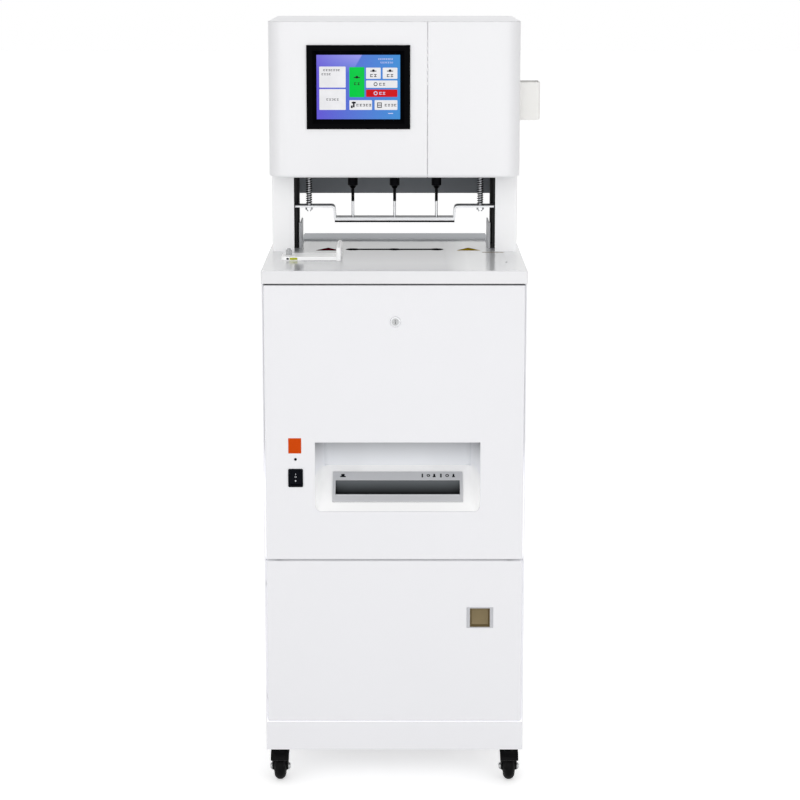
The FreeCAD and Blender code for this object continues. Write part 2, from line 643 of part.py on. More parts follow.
def tube_holder():
    """Open-topped box on the head's right side, for spare rivet tubes."""
    x0, y0, z0 = HEAD_W / 2, HEAD_FRONT + HOLDER_SETBACK, HEAD_Z + HOLDER_LOW
    x1, y1, z1 = x0 + HOLDER_W, y0 + HOLDER_D, z0 + HOLDER_H
    wall = HOLDER_WALL
    outer = block(x0, x1, y0, y1, z0, z1)
    outer = rounded(outer, 5.0, lambda at, way: near(at.x, x1) and (upright(way) or near(at.z, z0)))
    inner = block(x0 + wall, x1 - wall, y0 + wall, y1 - wall, z0 + wall, z1 + 1)
    return outer.cut(rounded(inner, 3.0, lambda at, way: upright(way) and at.x > x0 + 9))


def press_motor():
    """Gear motor of the drive shaft and the two bearing blocks at the shaft's ends."""
    y = shaft_y()
    z0 = HEAD_Z + HEAD_FLOOR_T
    case = block(-MOTOR_HALF, MOTOR_HALF, y - MOTOR_R, y + MOTOR_R, SHAFT_Z - 26, SHAFT_Z + 26)
    case = rounded(case, 6.0, lambda at, way: abs(way.x) > 1)
    stand = block(-40, 40, y - 18, y + 18, z0, SHAFT_Z - 26)
    stand = stand.cut(block(-34, 34, y - 18, y + 18, z0 + 6, SHAFT_Z - 32))
    motor = rod(MOTOR_R, (30, y + MOTOR_R, SHAFT_Z), (30, y + 95, SHAFT_Z))
    case = case.fuse([stand, motor]).cut(rod(SHAFT_R + RUN, (-99, y, SHAFT_Z), (99, y, SHAFT_Z)))
    wall_x = HEAD_W / 2 - SHEET - 0.1
    bearing = block(wall_x - 14, wall_x, y - 16, y + 16, z0, SHAFT_Z + 16)
    bearing = bearing.cut(rod(SHAFT_R + 0.05, (wall_x - 20, y, SHAFT_Z), (wall_x - 3, y, SHAFT_Z)))
    return Part.makeCompound([case.removeSplitter(), bearing, mirrored(bearing)])


def shaft_y():
    return rack_pitch_y() + PINION_R


def rack_pitch_y():
    return ahead(RACK_LINE)


# ---- carriage with three spindles ----
def carriage_beam():
    """Cast beam on the columns that carries the spindles and the racks."""
    z0, z1 = CARRIAGE_Z, CARRIAGE_Z + CARRIAGE_T
    end_x = COLUMN_X + COLUMN_R + 9
    beam = block(-end_x, end_x, DRILL_Y - 17, rack_pitch_y() - 2, z0, z1)
    beam = rounded(beam, 6.0, lambda at, way: upright(way))
    cuts = []
    for x in DRILL_XS:
        cuts.append(rod(CHUCK_R + SLIDE, (x, DRILL_Y, z0 - 1), (x, DRILL_Y, z1 + 1)))
    for side in (-1, 1):
        x = side * ROD_X
        cuts.append(rod(ROD_R + RUN, (x, DRILL_Y, z0 - 1), (x, DRILL_Y, z1 + 1)))
        x = side * COLUMN_X
        cuts.append(rod(COLUMN_R + SLIDE, (x, COLUMN_Y, z0 - 1), (x, COLUMN_Y, z1 + 1)))
    for x0, x1 in ((-135, -100), (-60, -20), (20, 60), (100, 135)):
        cuts.append(block(x0, x1, COLUMN_Y - 8, COLUMN_Y + 16, z0 - 1, z1 - 8))
    return beam.cut(cuts)


def drive_racks():
    """Two toothed bars on the carriage, in mesh with the pinions."""
    pitch = math.pi * GEAR_MODULE
    y = rack_pitch_y()
    z0, z1 = CARRIAGE_Z + CARRIAGE_T, SHAFT_Z + DRILL_STROKE + 14
    y_root = y - 1.2 * GEAR_MODULE
    solid = block(RACK_X - RACK_W / 2, RACK_X + RACK_W / 2, y - 14, y_root, z0, z1)
    at_root, at_tip = 0.95 * GEAR_MODULE, 0.36 * GEAR_MODULE
    first = math.ceil((z0 - SHAFT_Z + 3) / pitch - 0.5)
    last = math.floor((z1 - SHAFT_Z - 3) / pitch - 0.5)
    teeth = []
    for index in range(first, last + 1):
        z = SHAFT_Z + pitch * (index + 0.5)
        x0 = RACK_X - RACK_W / 2
        points = [(x0, y_root - 0.4, z - at_root), (x0, y + 0.9 * GEAR_MODULE, z - at_tip),
                  (x0, y + 0.9 * GEAR_MODULE, z + at_tip), (x0, y_root - 0.4, z + at_root)]
        teeth.append(prism(points, (RACK_W, 0, 0)))
    return both_sides(solid.fuse(teeth).removeSplitter())


def drive_shaft():
    """Cross shaft with the two pinions that lower the carriage."""
    y = shaft_y()
    end_x = HEAD_W / 2 - SHEET - 4
    shaft = rod(SHAFT_R, (-end_x, y, SHAFT_Z), (end_x, y, SHAFT_Z))
    teeth = round(2 * PINION_R / GEAR_MODULE)
    width = RACK_W - 2
    for side in (-1, 1):
        pinion = gear(teeth, GEAR_MODULE, width, (side * RACK_X - width / 2, y, SHAFT_Z), turn=0.0)
        shaft = shaft.fuse(pinion)
    return shaft.removeSplitter()


def spindle(x):
    """Spindle with its chuck, tapered collet and black drill holder, and the pulley on top."""
    z_chuck = TABLE_Z + CHUCK_H
    z_tip = TABLE_Z + TIP_H
    z_top = CARRIAGE_Z + CARRIAGE_T
    shank_end = z_tip + DRILL_LEN
    profile = [(SHANK_R - 0.3, shank_end), (SHANK_R, shank_end + 0.5), (SHANK_R, z_chuck - 7),
               (SHANK_R + 1.4, z_chuck - 6), (CHUCK_R - 2.5, z_chuck - 1.5), (CHUCK_R, z_chuck),
               (CHUCK_R, z_top + 3), (PULLEY_R, z_top + 3), (PULLEY_R, z_top + 3 + BELT_W + 2),
               (6.0, z_top + 3 + BELT_W + 2), (6.0, z_top + 24), (0.0, z_top + 24), (0.0, shank_end)]
    return turned(profile, (x, DRILL_Y, 0))


def drill(x):
    """Hollow drill: a thin tube with a sharpened rim."""
    z_tip = TABLE_Z + TIP_H
    z_top = z_tip + DRILL_LEN
    profile = [(DRILL_BORE_R, z_tip + 1.0), (DRILL_BORE_R + 0.3, z_tip), (DRILL_R, z_tip + 2.0),
               (DRILL_R, z_top), (DRILL_BORE_R, z_top)]
    return turned(profile, (x, DRILL_Y, 0))


def spindle_motor():
    """Motor that turns the middle spindle, on a bridge above the pulleys."""
    z0 = CARRIAGE_Z + CARRIAGE_T
    z1 = z0 + 26.0
    plate = block(-52, 52, DRILL_Y - 30, COLUMN_Y + 10, z1, z1 + 6)
    plate = plate.cut(rod(8.0, (0, DRILL_Y, z1 - 1), (0, DRILL_Y, z1 + 9)))
    legs = [block(x - 6, x + 6, COLUMN_Y - 2, COLUMN_Y + 10, z0, z1) for x in (-46, 46)]
    case = rod(SPINDLE_MOTOR_R, (0, DRILL_Y, z1 + 6), (0, DRILL_Y, z1 + 6 + SPINDLE_MOTOR_H))
    case = case.cut(rod(7.0, (0, DRILL_Y, z1 + 5), (0, DRILL_Y, z1 + 8)))
    return plate.fuse(legs + [case]).removeSplitter()


def drive_belt():
    """Flat belt round the three pulleys."""
    z = CARRIAGE_Z + CARRIAGE_T + 4.0
    loops = []
    for radius in (PULLEY_R + 0.3 + BELT_T, PULLEY_R + 0.3):
        x = DRILL_PITCH
        body = block(-x, x, DRILL_Y - radius, DRILL_Y + radius, z, z + BELT_W)
        ends = [rod(radius, (side * x, DRILL_Y, z), (side * x, DRILL_Y, z + BELT_W)) for side in (-1, 1)]
        loops.append(body.fuse(ends))
    return loops[0].cut(loops[1]).removeSplitter()


# ---- press plate ----
def press_plate():
    """Hat-shaped plate: a low bar between two raised flanges, with holes for the drills."""
    y0 = DRILL_Y - PRESS_D / 2
    bar_top = BAR_Z + PRESS_BAR_T
    foot_x = PRESS_BAR_X
    right = [(0, BAR_Z), (foot_x, BAR_Z), (foot_x + PRESS_LEAN, FLANGE_Z), (PRESS_END_X, FLANGE_Z),
             (PRESS_END_X, FLANGE_TOP), (foot_x + PRESS_LEAN - PRESS_SHEET, FLANGE_TOP),
             (foot_x - PRESS_SHEET, bar_top), (0, bar_top)]
    half = prism([(x, y0, z) for x, z in right], (0, PRESS_D, 0))
    for radius, level in ((8.0, FLANGE_TOP), (4.5, FLANGE_Z), (3.0, BAR_Z)):
        half = rounded(half, radius, lambda at, way: abs(way.y) > 1 and near(at.z, level)
                       and 1 < at.x < PRESS_END_X - 1)
    plate = half.fuse(mirrored(half)).removeSplitter()
    cuts = [rod(DRILL_R + 2.0, (x, DRILL_Y, BAR_Z - 1), (x, DRILL_Y, bar_top + 1)) for x in DRILL_XS]
    for x in (-DRILL_PITCH / 2, DRILL_PITCH / 2):
        cuts.append(block(x - 10, x + 10, DRILL_Y + 2, DRILL_Y + 8, BAR_Z - 1, bar_top + 1))
    for x in (-ROD_X, ROD_X):
        cuts.append(rod(ROD_R, (x, DRILL_Y, FLANGE_Z - 1), (x, DRILL_Y, FLANGE_TOP + 1)))
    return plate.cut(cuts)


def press_rubber():
    """Strip of rubber under the bar, holed for the drills."""
    x1, half = PRESS_BAR_X - 1, PRESS_D / 2
    strip = block(-x1, x1, DRILL_Y - half, DRILL_Y + half, BAR_Z - RUBBER_T, BAR_Z)
    holes = [rod(DRILL_R + 1.5, (x, DRILL_Y, BAR_Z - 9), (x, DRILL_Y, BAR_Z + 1)) for x in DRILL_XS]
    return strip.cut(holes)


def guide_rods():
    """Rods that hang the press plate from the carriage, with a nut under the flange and a head on top."""
    x = ROD_X
    bar = rod(ROD_R, (x, DRILL_Y, FLANGE_Z - 9), (x, DRILL_Y, ROD_TOP))
    nut = hexagon(7.0, (x, DRILL_Y, FLANGE_Z - 6), 6.0)
    head = rod(7.5, (x, DRILL_Y, CARRIAGE_Z + CARRIAGE_T + 10), (x, DRILL_Y, CARRIAGE_Z + CARRIAGE_T + 16))
    return both_sides(bar.fuse([nut, head]).removeSplitter())


def hexagon(radius, centre, height):
    """A nut blank standing on centre."""
    x, y, z = centre
    points = [(x + radius * math.cos(math.radians(60 * i)), y + radius * math.sin(math.radians(60 * i)), z)
              for i in range(6)]
    return prism(points, (0, 0, height))


def press_springs():
    """Springs between the carriage and the press plate, each as the tube that its coils fill."""
    x = ROD_X
    radius = SPRING_R + SPRING_WIRE_R
    return both_sides(pipe(radius, 2 * SPRING_WIRE_R, (x, DRILL_Y, FLANGE_TOP), (x, DRILL_Y, CARRIAGE_Z)))


# ---- upper front panel ----
def slope_point(along, off=0.0):
    """(Y, Z) of a point this far up the recess's sloping floor, and this far out of it."""
    length = math.hypot(RECESS_D, RECESS_SLOPE_H)
    unit_y, unit_z = RECESS_D / length, RECESS_SLOPE_H / length
    z0 = PANEL_Z + RECESS_LOW
    return CAB_FRONT + unit_y * along - unit_z * off, z0 + unit_z * along + unit_y * off


def on_slope(x0, x1, low, high, off0, off1):
    """A block that lies on the sloping floor, between two distances up it and two heights off it."""
    corners = [slope_point(*corner) for corner in ((low, off0), (high, off0), (high, off1), (low, off1))]
    return prism([(x0, y, z) for y, z in corners], (x1 - x0, 0, 0))


def recess_hollow(grow):
    """The recess's space, or with grow the space and its wall. The floor slopes and the sides close in."""
    z0 = PANEL_Z + RECESS_LOW
    z1 = z0 + RECESS_H
    y0, y1 = CAB_FRONT, CAB_FRONT + RECESS_D
    front = 0.0 if grow else 2.0
    share = front / RECESS_D
    half0 = RECESS_HALF + (RECESS_HALF - RECESS_BACK_HALF) * share + grow
    drop = RECESS_SLOPE_H * share
    slope_grow = grow * math.hypot(RECESS_D, RECESS_SLOPE_H) / RECESS_D
    outlines = []
    for half, y, low in ((half0, y0 - front, z0 - drop - slope_grow),
                         (RECESS_BACK_HALF + grow, y1 + grow, z0 + RECESS_SLOPE_H - slope_grow)):
        xs = (RECESS_X - half, RECESS_X + half)
        points = [V(xs[0], y, low), V(xs[1], y, low), V(xs[1], y, z1 + grow), V(xs[0], y, z1 + grow)]
        outlines.append(Part.makePolygon(points + points[:1]))
    hollow = Part.makeLoft(outlines, True, True)
    return rounded(hollow, RECESS_R + grow, lambda at, way: at.y > y0 + 1 and abs(way.x) < 99
                   and not (near(at.z, z1 + grow) and abs(way.y) > 1))


def arm_slots_panel():
    """Cut-outs in the panel's lower flange that let the hinge arms through."""
    y0, y1 = CAB_FRONT + SHEET + 0.2, CAB_FRONT + DOOR_T + 1
    return [block(x - 4, x + 4, y0, y1, PANEL_Z - 1, PANEL_Z + SHEET + 1) for x in (-PANEL_ARM_X, PANEL_ARM_X)]


def upper_panel():
    """Front panel: a folded tray with the moulded recess, hinged at its lower edge."""
    panel = tray(-DOOR_X, DOOR_X, PANEL_Z, PANEL_TOP, CAB_FRONT, DOOR_T)
    panel = panel.fuse(recess_hollow(RECESS_WALL)).cut(recess_hollow(0.0))
    low, high = MOUTH_LOW + 4, MOUTH_LOW + MOUTH_LEN - 4
    cuts = [on_slope(RECESS_X - MOUTH_HALF + 4, RECESS_X + MOUTH_HALF - 4, low, high, -9, 9)]
    cuts += arm_slots_panel()
    for radius, x, z in ((LOCK_R - 1.5, LOCK_X, PANEL_Z + LOCK_H), (LAMP_R, SWITCH_X, PANEL_Z + LAMP_H)):
        cuts.append(rod(radius, (x, CAB_FRONT - 1, z), (x, CAB_FRONT + 9, z)))
    z = PANEL_Z + SWITCH_H
    cuts.append(block(SWITCH_X - SWITCH_W / 2 + 2, SWITCH_X + SWITCH_W / 2 - 2, CAB_FRONT - 1, CAB_FRONT + 9,
                      z - SWITCH_TALL / 2 + 2, z + SWITCH_TALL / 2 - 2))
    panel = panel.cut(cuts)
    ears = []
    y, z = CAB_FRONT + HINGE_INSET, PANEL_Z + HINGE_INSET
    for side in (-1, 1):
        for way in (-1, 1):
            x = side * PANEL_ARM_X + way * (ARM_T / 2 + EAR_GAP)
            x_low, x_high = min(x, x + way * EAR_T), max(x, x + way * EAR_T)
            ear = block(x_low, x_high, CAB_FRONT + SHEET, y + 4, PANEL_Z + SHEET, z + 6)
            ears.append(ear.cut(rod(PIN_R + PIN_CLEAR, (x - 9, y, z), (x + 9, y, z))))
    return panel.fuse(ears).removeSplitter()


def shredder_mouth():
    """Silver frame of the shredder's mouth, with a chamfered lower lip and a short throat."""
    x0, x1 = RECESS_X - MOUTH_HALF, RECESS_X + MOUTH_HALF
    high = MOUTH_LOW + MOUTH_LEN
    frame = on_slope(x0, x1, MOUTH_LOW, high, 0, MOUTH_T)
    frame = rounded(frame, 1.2, lambda at, way: abs(way.x) < 1e-6 and way.Length < MOUTH_T + 1)
    throat = on_slope(x0 + 4.2, x1 - 4.2, SLIT_LOW - 2, SLIT_LOW + SLIT_LEN + 2, -14, 0)
    frame = frame.fuse(throat).removeSplitter()
    slit = on_slope(RECESS_X - SLIT_HALF, RECESS_X + SLIT_HALF, SLIT_LOW + 11, SLIT_LOW + SLIT_LEN, -20, 9)
    corners = [slope_point(SLIT_LOW, MOUTH_T + 0.1), slope_point(SLIT_LOW + 11.1, MOUTH_T + 0.1),
               slope_point(SLIT_LOW + 11.1, -8)]
    lip = prism([(RECESS_X - SLIT_HALF, y, z) for y, z in corners], (2 * SLIT_HALF, 0, 0))
    return frame.cut([slit, lip])


def switch_and_lamp():
    """Black frame of the power switch and the small indicator above it, as two solids."""
    z = PANEL_Z + SWITCH_H
    w, h = SWITCH_W / 2, SWITCH_TALL / 2
    flange = block(SWITCH_X - w, SWITCH_X + w, CAB_FRONT - 1.6, CAB_FRONT, z - h, z + h)
    flange = rounded(flange, 2.5, lambda at, way: abs(way.y) > 1)
    wall_in, wall_out = 3.5, 2.2
    case = block(SWITCH_X - w + wall_out, SWITCH_X + w - wall_out, CAB_FRONT, CAB_FRONT + 22,
                 z - h + wall_out, z + h - wall_out)
    well = block(SWITCH_X - w + wall_in, SWITCH_X + w - wall_in, CAB_FRONT - 5, CAB_FRONT + 14,
                 z - h + wall_in, z + h - wall_in)
    pin_y = CAB_FRONT + ROCKER_AXIS_D
    pivot = rod(ROCKER_PIN_R + SLIDE, (SWITCH_X - w, pin_y, z), (SWITCH_X + w, pin_y, z))
    frame = flange.fuse(case).cut([well, pivot])
    lamp_z = PANEL_Z + LAMP_H
    lens = rod(LAMP_R - 0.05, (SWITCH_X, CAB_FRONT - 0.6, lamp_z), (SWITCH_X, CAB_FRONT + 8, lamp_z))
    return Part.makeCompound([frame.removeSplitter(), lens])


def power_rocker():
    """Rocker of the power switch: two shallow facets on a round back."""
    w = SWITCH_W / 2 - 3.8
    h = SWITCH_TALL / 2 - 4.6
    y, z = CAB_FRONT + ROCKER_AXIS_D, PANEL_Z + SWITCH_H
    points = [(-h, -7.2), (0, -5.2), (h, -7.2), (h - 1.2, 1.5), (4, 6.5), (-4, 6.5), (-h + 1.2, 1.5)]
    solid = prism([(SWITCH_X - w, y + dy, z + dz) for dz, dy in points], (2 * w, 0, 0))
    solid = rounded(solid, 0.8, lambda at, way: abs(way.x) > 1 and at.y < y - 4)
    solid.rotate(V(0, y, z), V(1, 0, 0), -ROCKER_TILT)
    pin_x = SWITCH_W / 2 - 2.4
    return solid.fuse(rod(ROCKER_PIN_R, (SWITCH_X - pin_x, y, z), (SWITCH_X + pin_x, y, z))).removeSplitter()


def lock_barrel():
    """Collar and threaded barrel of the cam lock, with its nut."""
    z = PANEL_Z + LOCK_H
    y = CAB_FRONT
    collar = rod(LOCK_R, (LOCK_X, y - 2.0, z), (LOCK_X, y, z))
    collar = rounded(collar, 1.0, lambda at, way: near(at.y, y - 2.0))
    barrel = rod(LOCK_R - 1.7, (LOCK_X, y, z), (LOCK_X, y + CAM_D, z))
    nut = rod(LOCK_R + 1, (LOCK_X, y + SHEET + 0.1, z), (LOCK_X, y + SHEET + 4, z))
    shape = collar.fuse([barrel, nut])
    return shape.cut(rod(PLUG_R + SLIDE, (LOCK_X, y - 9, z), (LOCK_X, y + 30, z))).removeSplitter()


def lock_cam():
    """Plug with a key slot, and the cam behind it that swings up behind the frame's rail."""
    z = PANEL_Z + LOCK_H
    y = CAB_FRONT
    plug = rod(PLUG_R, (LOCK_X, y - 1.6, z), (LOCK_X, y + CAM_D + RUN, z))
    plug = plug.cut(block(LOCK_X - 0.6, LOCK_X + 0.6, y - 3, y + 8, z - 4, z + 4))
    tail = block(LOCK_X - CAM_LEN, LOCK_X + 7, y + CAM_D + RUN, y + CAM_D + RUN + 2.5, z - 7, z + 7)
    tail = rounded(tail, 6.5, lambda at, way: abs(way.y) > 1)
    return plug.fuse(tail).removeSplitter()


# ---- lower door ----
def lower_door():
    """Folded door, hinged at the left, with the hole of its flush pull."""
    door = tray(-DOOR_X, DOOR_X, DOOR_Z, DOOR_TOP, CAB_FRONT, DOOR_T)
    z = DOOR_Z + PULL_H
    w, h = PULL_W / 2 - 2, PULL_TALL / 2 - 0.5
    cuts = [block(PULL_X - w, PULL_X + w, CAB_FRONT - 1, CAB_FRONT + 9, z - h, z + h)]
    x, y = -DOOR_X + HINGE_INSET, CAB_FRONT + HINGE_INSET
    ears = []
    for z in DOOR_HINGE_ZS:
        cuts.append(block(-DOOR_X - 1, -DOOR_X + SHEET + 1, CAB_FRONT + SHEET, CAB_FRONT + DOOR_T + 1,
                          z - ARM_T / 2 - 2, z + ARM_T / 2 + 2))
        for way in (-1, 1):
            near_z = z + way * (ARM_T / 2 + EAR_GAP)
            z_low, z_high = min(near_z, near_z + way * EAR_T), max(near_z, near_z + way * EAR_T)
            ear = block(-DOOR_X + SHEET, x + 6, CAB_FRONT + SHEET, y + 4, z_low, z_high)
            ears.append(ear.cut(rod(PIN_R + PIN_CLEAR, (x, y, near_z - 9), (x, y, near_z + 9))))
    return door.cut(cuts).fuse(ears).removeSplitter()


def door_pull():
    """Flush pull: a square cup with a raised strip left and right and thin rims above and below."""
    z = DOOR_Z + PULL_H
    w, h = PULL_W / 2, PULL_TALL / 2
    rim = block(PULL_X - w, PULL_X + w, CAB_FRONT - 1.5, CAB_FRONT, z - h, z + h)
    rim = rounded(rim, 1.2, lambda at, way: near(at.y, CAB_FRONT - 1.5) and upright(way))
    cup = block(PULL_X - w + 2.2, PULL_X + w - 2.2, CAB_FRONT, CAB_FRONT + PULL_D, z - h + 0.6, z + h - 0.6)
    hollow = block(PULL_X - w + PULL_SIDE, PULL_X + w - PULL_SIDE, CAB_FRONT - 5, CAB_FRONT + PULL_D - SHEET,
                   z - h + PULL_LIP, z + h - PULL_LIP)
    return rim.fuse(cup).cut(hollow).removeSplitter()


def hinge_arms():
    """Arms on the inner frame, each with its pin, that both doors swing on."""
    pieces = []
    x, y = -DOOR_X + HINGE_INSET, CAB_FRONT + HINGE_INSET
    reach = ARM_T / 2 + EAR_GAP + EAR_T
    for z in DOOR_HINGE_ZS:
        arm = block(x - ARM_HALF, x + ARM_HALF, y, POST_FRONT, z - ARM_T / 2, z + ARM_T / 2)
        arm = arm.fuse(rod(ARM_TIP_R, (x, y, z - ARM_T / 2), (x, y, z + ARM_T / 2)))
        pin = rod(PIN_R, (x, y, z - reach), (x, y, z + reach))
        pieces.append(arm.fuse(pin).removeSplitter())
    y, z = CAB_FRONT + HINGE_INSET, PANEL_Z + HINGE_INSET
    for side in (-1, 1):
        x = side * PANEL_ARM_X
        arm = block(x - ARM_T / 2, x + ARM_T / 2, y, POST_FRONT + POST, z - ARM_HALF, z + ARM_HALF)
        arm = arm.fuse(rod(ARM_TIP_R, (x - ARM_T / 2, y, z), (x + ARM_T / 2, y, z)))
        pin = rod(PIN_R, (x - reach, y, z), (x + reach, y, z))
        pieces.append(arm.fuse(pin).removeSplitter())
    return Part.makeCompound(pieces)


# ---- side guide ----
def side_guide():
    """White slider on the table with an upright fence that the stack's edge lies against."""
    x0, x1 = GUIDE_ARM_X0, GUIDE_FENCE_X - GUIDE_FENCE_T / 2
    y0 = ahead(GUIDE_FRONT)
    low = TABLE_Z + RUN
    arm = block(x0, x1 + 2, y0, y0 + GUIDE_ARM_D, low, TABLE_Z + GUIDE_ARM_T)
    arm = rounded(arm, 9.0, lambda at, way: upright(way) and at.x < x0 + 1)
    arm = rounded(arm, 1.2, lambda at, way: near(at.z, TABLE_Z + GUIDE_ARM_T) and at.x < x1)
    fence_y = ahead(GUIDE_FENCE_FRONT)
    fence = block(x1, x1 + GUIDE_FENCE_T, fence_y, fence_y + GUIDE_FENCE_D, low, TABLE_Z + GUIDE_FENCE_H)
    fence = rounded(fence, 4.0, lambda at, way: near(at.z, TABLE_Z + GUIDE_FENCE_H) and abs(way.y) > 1)
    fence = rounded(fence, 2.0, lambda at, way: upright(way))
    key_y = KEY_W / 2 - RUN
    key = block(KEY_X0, KEY_X1, GUIDE_Y - key_y, GUIDE_Y + key_y, TABLE_Z - TABLE_T, TABLE_Z + 1)
    shape = arm.fuse([fence, key])
    hole = rod(STUD_R + SLIDE, (KNOB_X, GUIDE_Y, TABLE_Z - 9), (KNOB_X, GUIDE_Y, TABLE_Z + 20))
    return shape.cut(hole).removeSplitter()


def clamp_knob():
    """Knurled thumb nut on a stud that clamps the guide, with a flat foot under the table."""
    z = TABLE_Z + GUIDE_ARM_T + RUN
    grip = rod(KNOB_R, (KNOB_X, GUIDE_Y, z), (KNOB_X, GUIDE_Y, z + 9))
    notches = []
    for i in range(KNOB_NOTCHES):
        angle = 2 * math.pi * i / KNOB_NOTCHES
        x, y = KNOB_X + (KNOB_R + 0.4) * math.cos(angle), GUIDE_Y + (KNOB_R + 0.4) * math.sin(angle)
        notches.append(rod(0.9, (x, y, z - 1), (x, y, z + 10)))
    under = TABLE_Z - TABLE_T - RUN
    stud = rod(STUD_R, (KNOB_X, GUIDE_Y, under - 4), (KNOB_X, GUIDE_Y, z + 12))
    foot = rod(STUD_R + 3.5, (KNOB_X, GUIDE_Y, under - 3), (KNOB_X, GUIDE_Y, under))
    return grip.cut(notches).fuse([stud, foot]).removeSplitter()


# ---- shredder and waste bin ----
def cutter_centres():
    """(Y, Z) of the two cutter shafts, square below the mouth's slit."""
    middle = SLIT_LOW + 11 + (SLIT_LEN - 11) / 2
    return [slope_point(middle + way * CUTTER_PITCH / 2, -CUTTER_DEPTH) for way in (-1, 1)]


def cutter(which):
    """A cutter shaft with its stack of discs. The two stacks interleave."""
    y, z = cutter_centres()[which]
    pitch = 2 * CUTTER_DISC
    start = -CUTTER_HALF + (CUTTER_DISC if which else 0.0)
    shaft_r, hub_r = CUTTER_SHAFT_R, CUTTER_PITCH - CUTTER_R - RUN - 1
    left_end, right_end = -142.0, SHRED_X + 6.0
    profile = [(0.0, left_end), (shaft_r, left_end), (shaft_r, start)]
    count = int((CUTTER_HALF - start) / pitch)
    for i in range(count):
        x = start + pitch * i
        x_end = x + CUTTER_DISC
        profile += [(hub_r, x), (CUTTER_R, x + 0.3), (CUTTER_R, x_end - 0.3), (hub_r, x_end)]
    profile += [(shaft_r, start + pitch * (count - 1) + CUTTER_DISC), (shaft_r, right_end), (0.0, right_end)]
    shaft = turned(profile, (RECESS_X, y, z), axis="x")
    teeth = round(CUTTER_PITCH / GEAR_MODULE)
    (y0, z0), (y1, z1) = cutter_centres()
    facing = math.degrees(math.atan2(z1 - z0, y1 - y0))
    turn = facing if which == 0 else facing + 180 + 180.0 / teeth
    wheel = gear(teeth, GEAR_MODULE, 9.0, (RECESS_X + left_end + 1, y, z), turn=turn)
    return shaft.fuse(wheel).removeSplitter()


def shredder_frame():
    """Two side plates on the shelf, with bushes for the cutters and three tie bars."""
    (y0, z0), (y1, z1) = cutter_centres()
    top_front = slope_point(40, -RECESS_WALL - 16)
    top_rear = slope_point(96, -RECESS_WALL - 16)
    outline = [(y0 - 34, SHELF_Z), (y1 + 40, SHELF_Z), (y1 + 40, top_rear[1]), top_rear, top_front,
               (y0 - 34, z0 - 6)]
    pieces = []
    for side in (-1, 1):
        x = RECESS_X + side * SHRED_X
        points = [(min(x, x + side * SHRED_PLATE_T), y, z) for y, z in outline]
        pieces.append(prism(points, (SHRED_PLATE_T, 0, 0)))
    for y, z in ((y0 - 22, SHELF_Z + 12), (y1 + 30, SHELF_Z + 12), (y1 + 30, z1 + 10)):
        pieces.append(rod(6.0, (RECESS_X - SHRED_X, y, z), (RECESS_X + SHRED_X, y, z)))
    frame = pieces[0].fuse(pieces[1:])
    holes = []
    for y, z in ((y0, z0), (y1, z1)):
        holes.append(rod(CUTTER_SHAFT_R + 0.05, (RECESS_X - 200, y, z), (RECESS_X + 200, y, z)))
    return frame.cut(holes).removeSplitter()


def shredder_motor():
    """Motor and gearbox beside the cutters, on the right."""
    (y0, _), (y1, z1) = cutter_centres()
    x0 = RECESS_X + SHRED_X + SHRED_PLATE_T
    box = block(x0 + 3, x0 + 30, y0 - 26, y1 + 30, SHELF_Z, z1 + 14)
    box = rounded(box, 5.0, lambda at, way: abs(way.x) > 1 and at.z > SHELF_Z + 1)
    case = rod(32.0, (x0 + 30, y1 + 8, SHELF_Z + 40), (x0 + 82, y1 + 8, SHELF_Z + 40))
    foot = block(x0 + 34, x0 + 78, y1 - 16, y1 + 32, SHELF_Z, SHELF_Z + 12)
    return box.fuse([case, foot]).removeSplitter()


def waste_bin():
    """Plastic bin under the cutters, standing in the base pan."""
    x1 = BIN_X
    y0, y1 = back(BIN_FRONT), back(BIN_BACK)
    z0, z1 = CASTER_H + 3.0, SHELF_Z - 45.0
    shapes = []
    for inset, low, high in ((0.0, z0, z1), (BIN_WALL, z0 + BIN_WALL, z1)):
        outlines = []
        for z, taper in ((low, BIN_TAPER), (high, 0.0)):
            xs, ys = x1 - taper - inset, (y0 + taper + inset, y1 - taper - inset)
            points = [V(-xs, ys[0], z), V(xs, ys[0], z), V(xs, ys[1], z), V(-xs, ys[1], z)]
            outlines.append(Part.makePolygon(points + points[:1]))
        shapes.append(Part.makeLoft(outlines, True, True))
    rim = block(-x1 - 6, x1 + 6, y0 - 6, y1 + 6, z1 - 3, z1)
    return shapes[0].fuse(rim).cut(shapes[1]).removeSplitter()


def power_inlet():
    """Three-pin mains inlet in the rear panel."""
    w, h = INLET_W / 2, INLET_H / 2
    y = CAB_REAR
    plate = block(INLET_X - w - 11, INLET_X + w + 11, y, y + 1.0, INLET_Z - h - 2, INLET_Z + h + 2)
    case = block(INLET_X - w + 0.3, INLET_X + w - 0.3, y - 18, y, INLET_Z - h + 0.3, INLET_Z + h - 0.3)
    socket = block(INLET_X - 12, INLET_X + 12, y - 16, y + 5, INLET_Z - 7.8, INLET_Z + 7.8)
    body = plate.fuse(case).cut(socket)
    pins = [block(INLET_X + dx - 1, INLET_X + dx + 1, y - 18, y - 1, INLET_Z + dz - 2, INLET_Z + dz + 2)
            for dx, dz in ((-7, -2), (0, 2), (7, -2))]
    return body.fuse(pins).removeSplitter()


# ---- casters ----
def fork_top():
    """Top of the fork's crown, a running gap below the bearing's race."""
    return CASTER_H - 3 - RACE_T - RUN


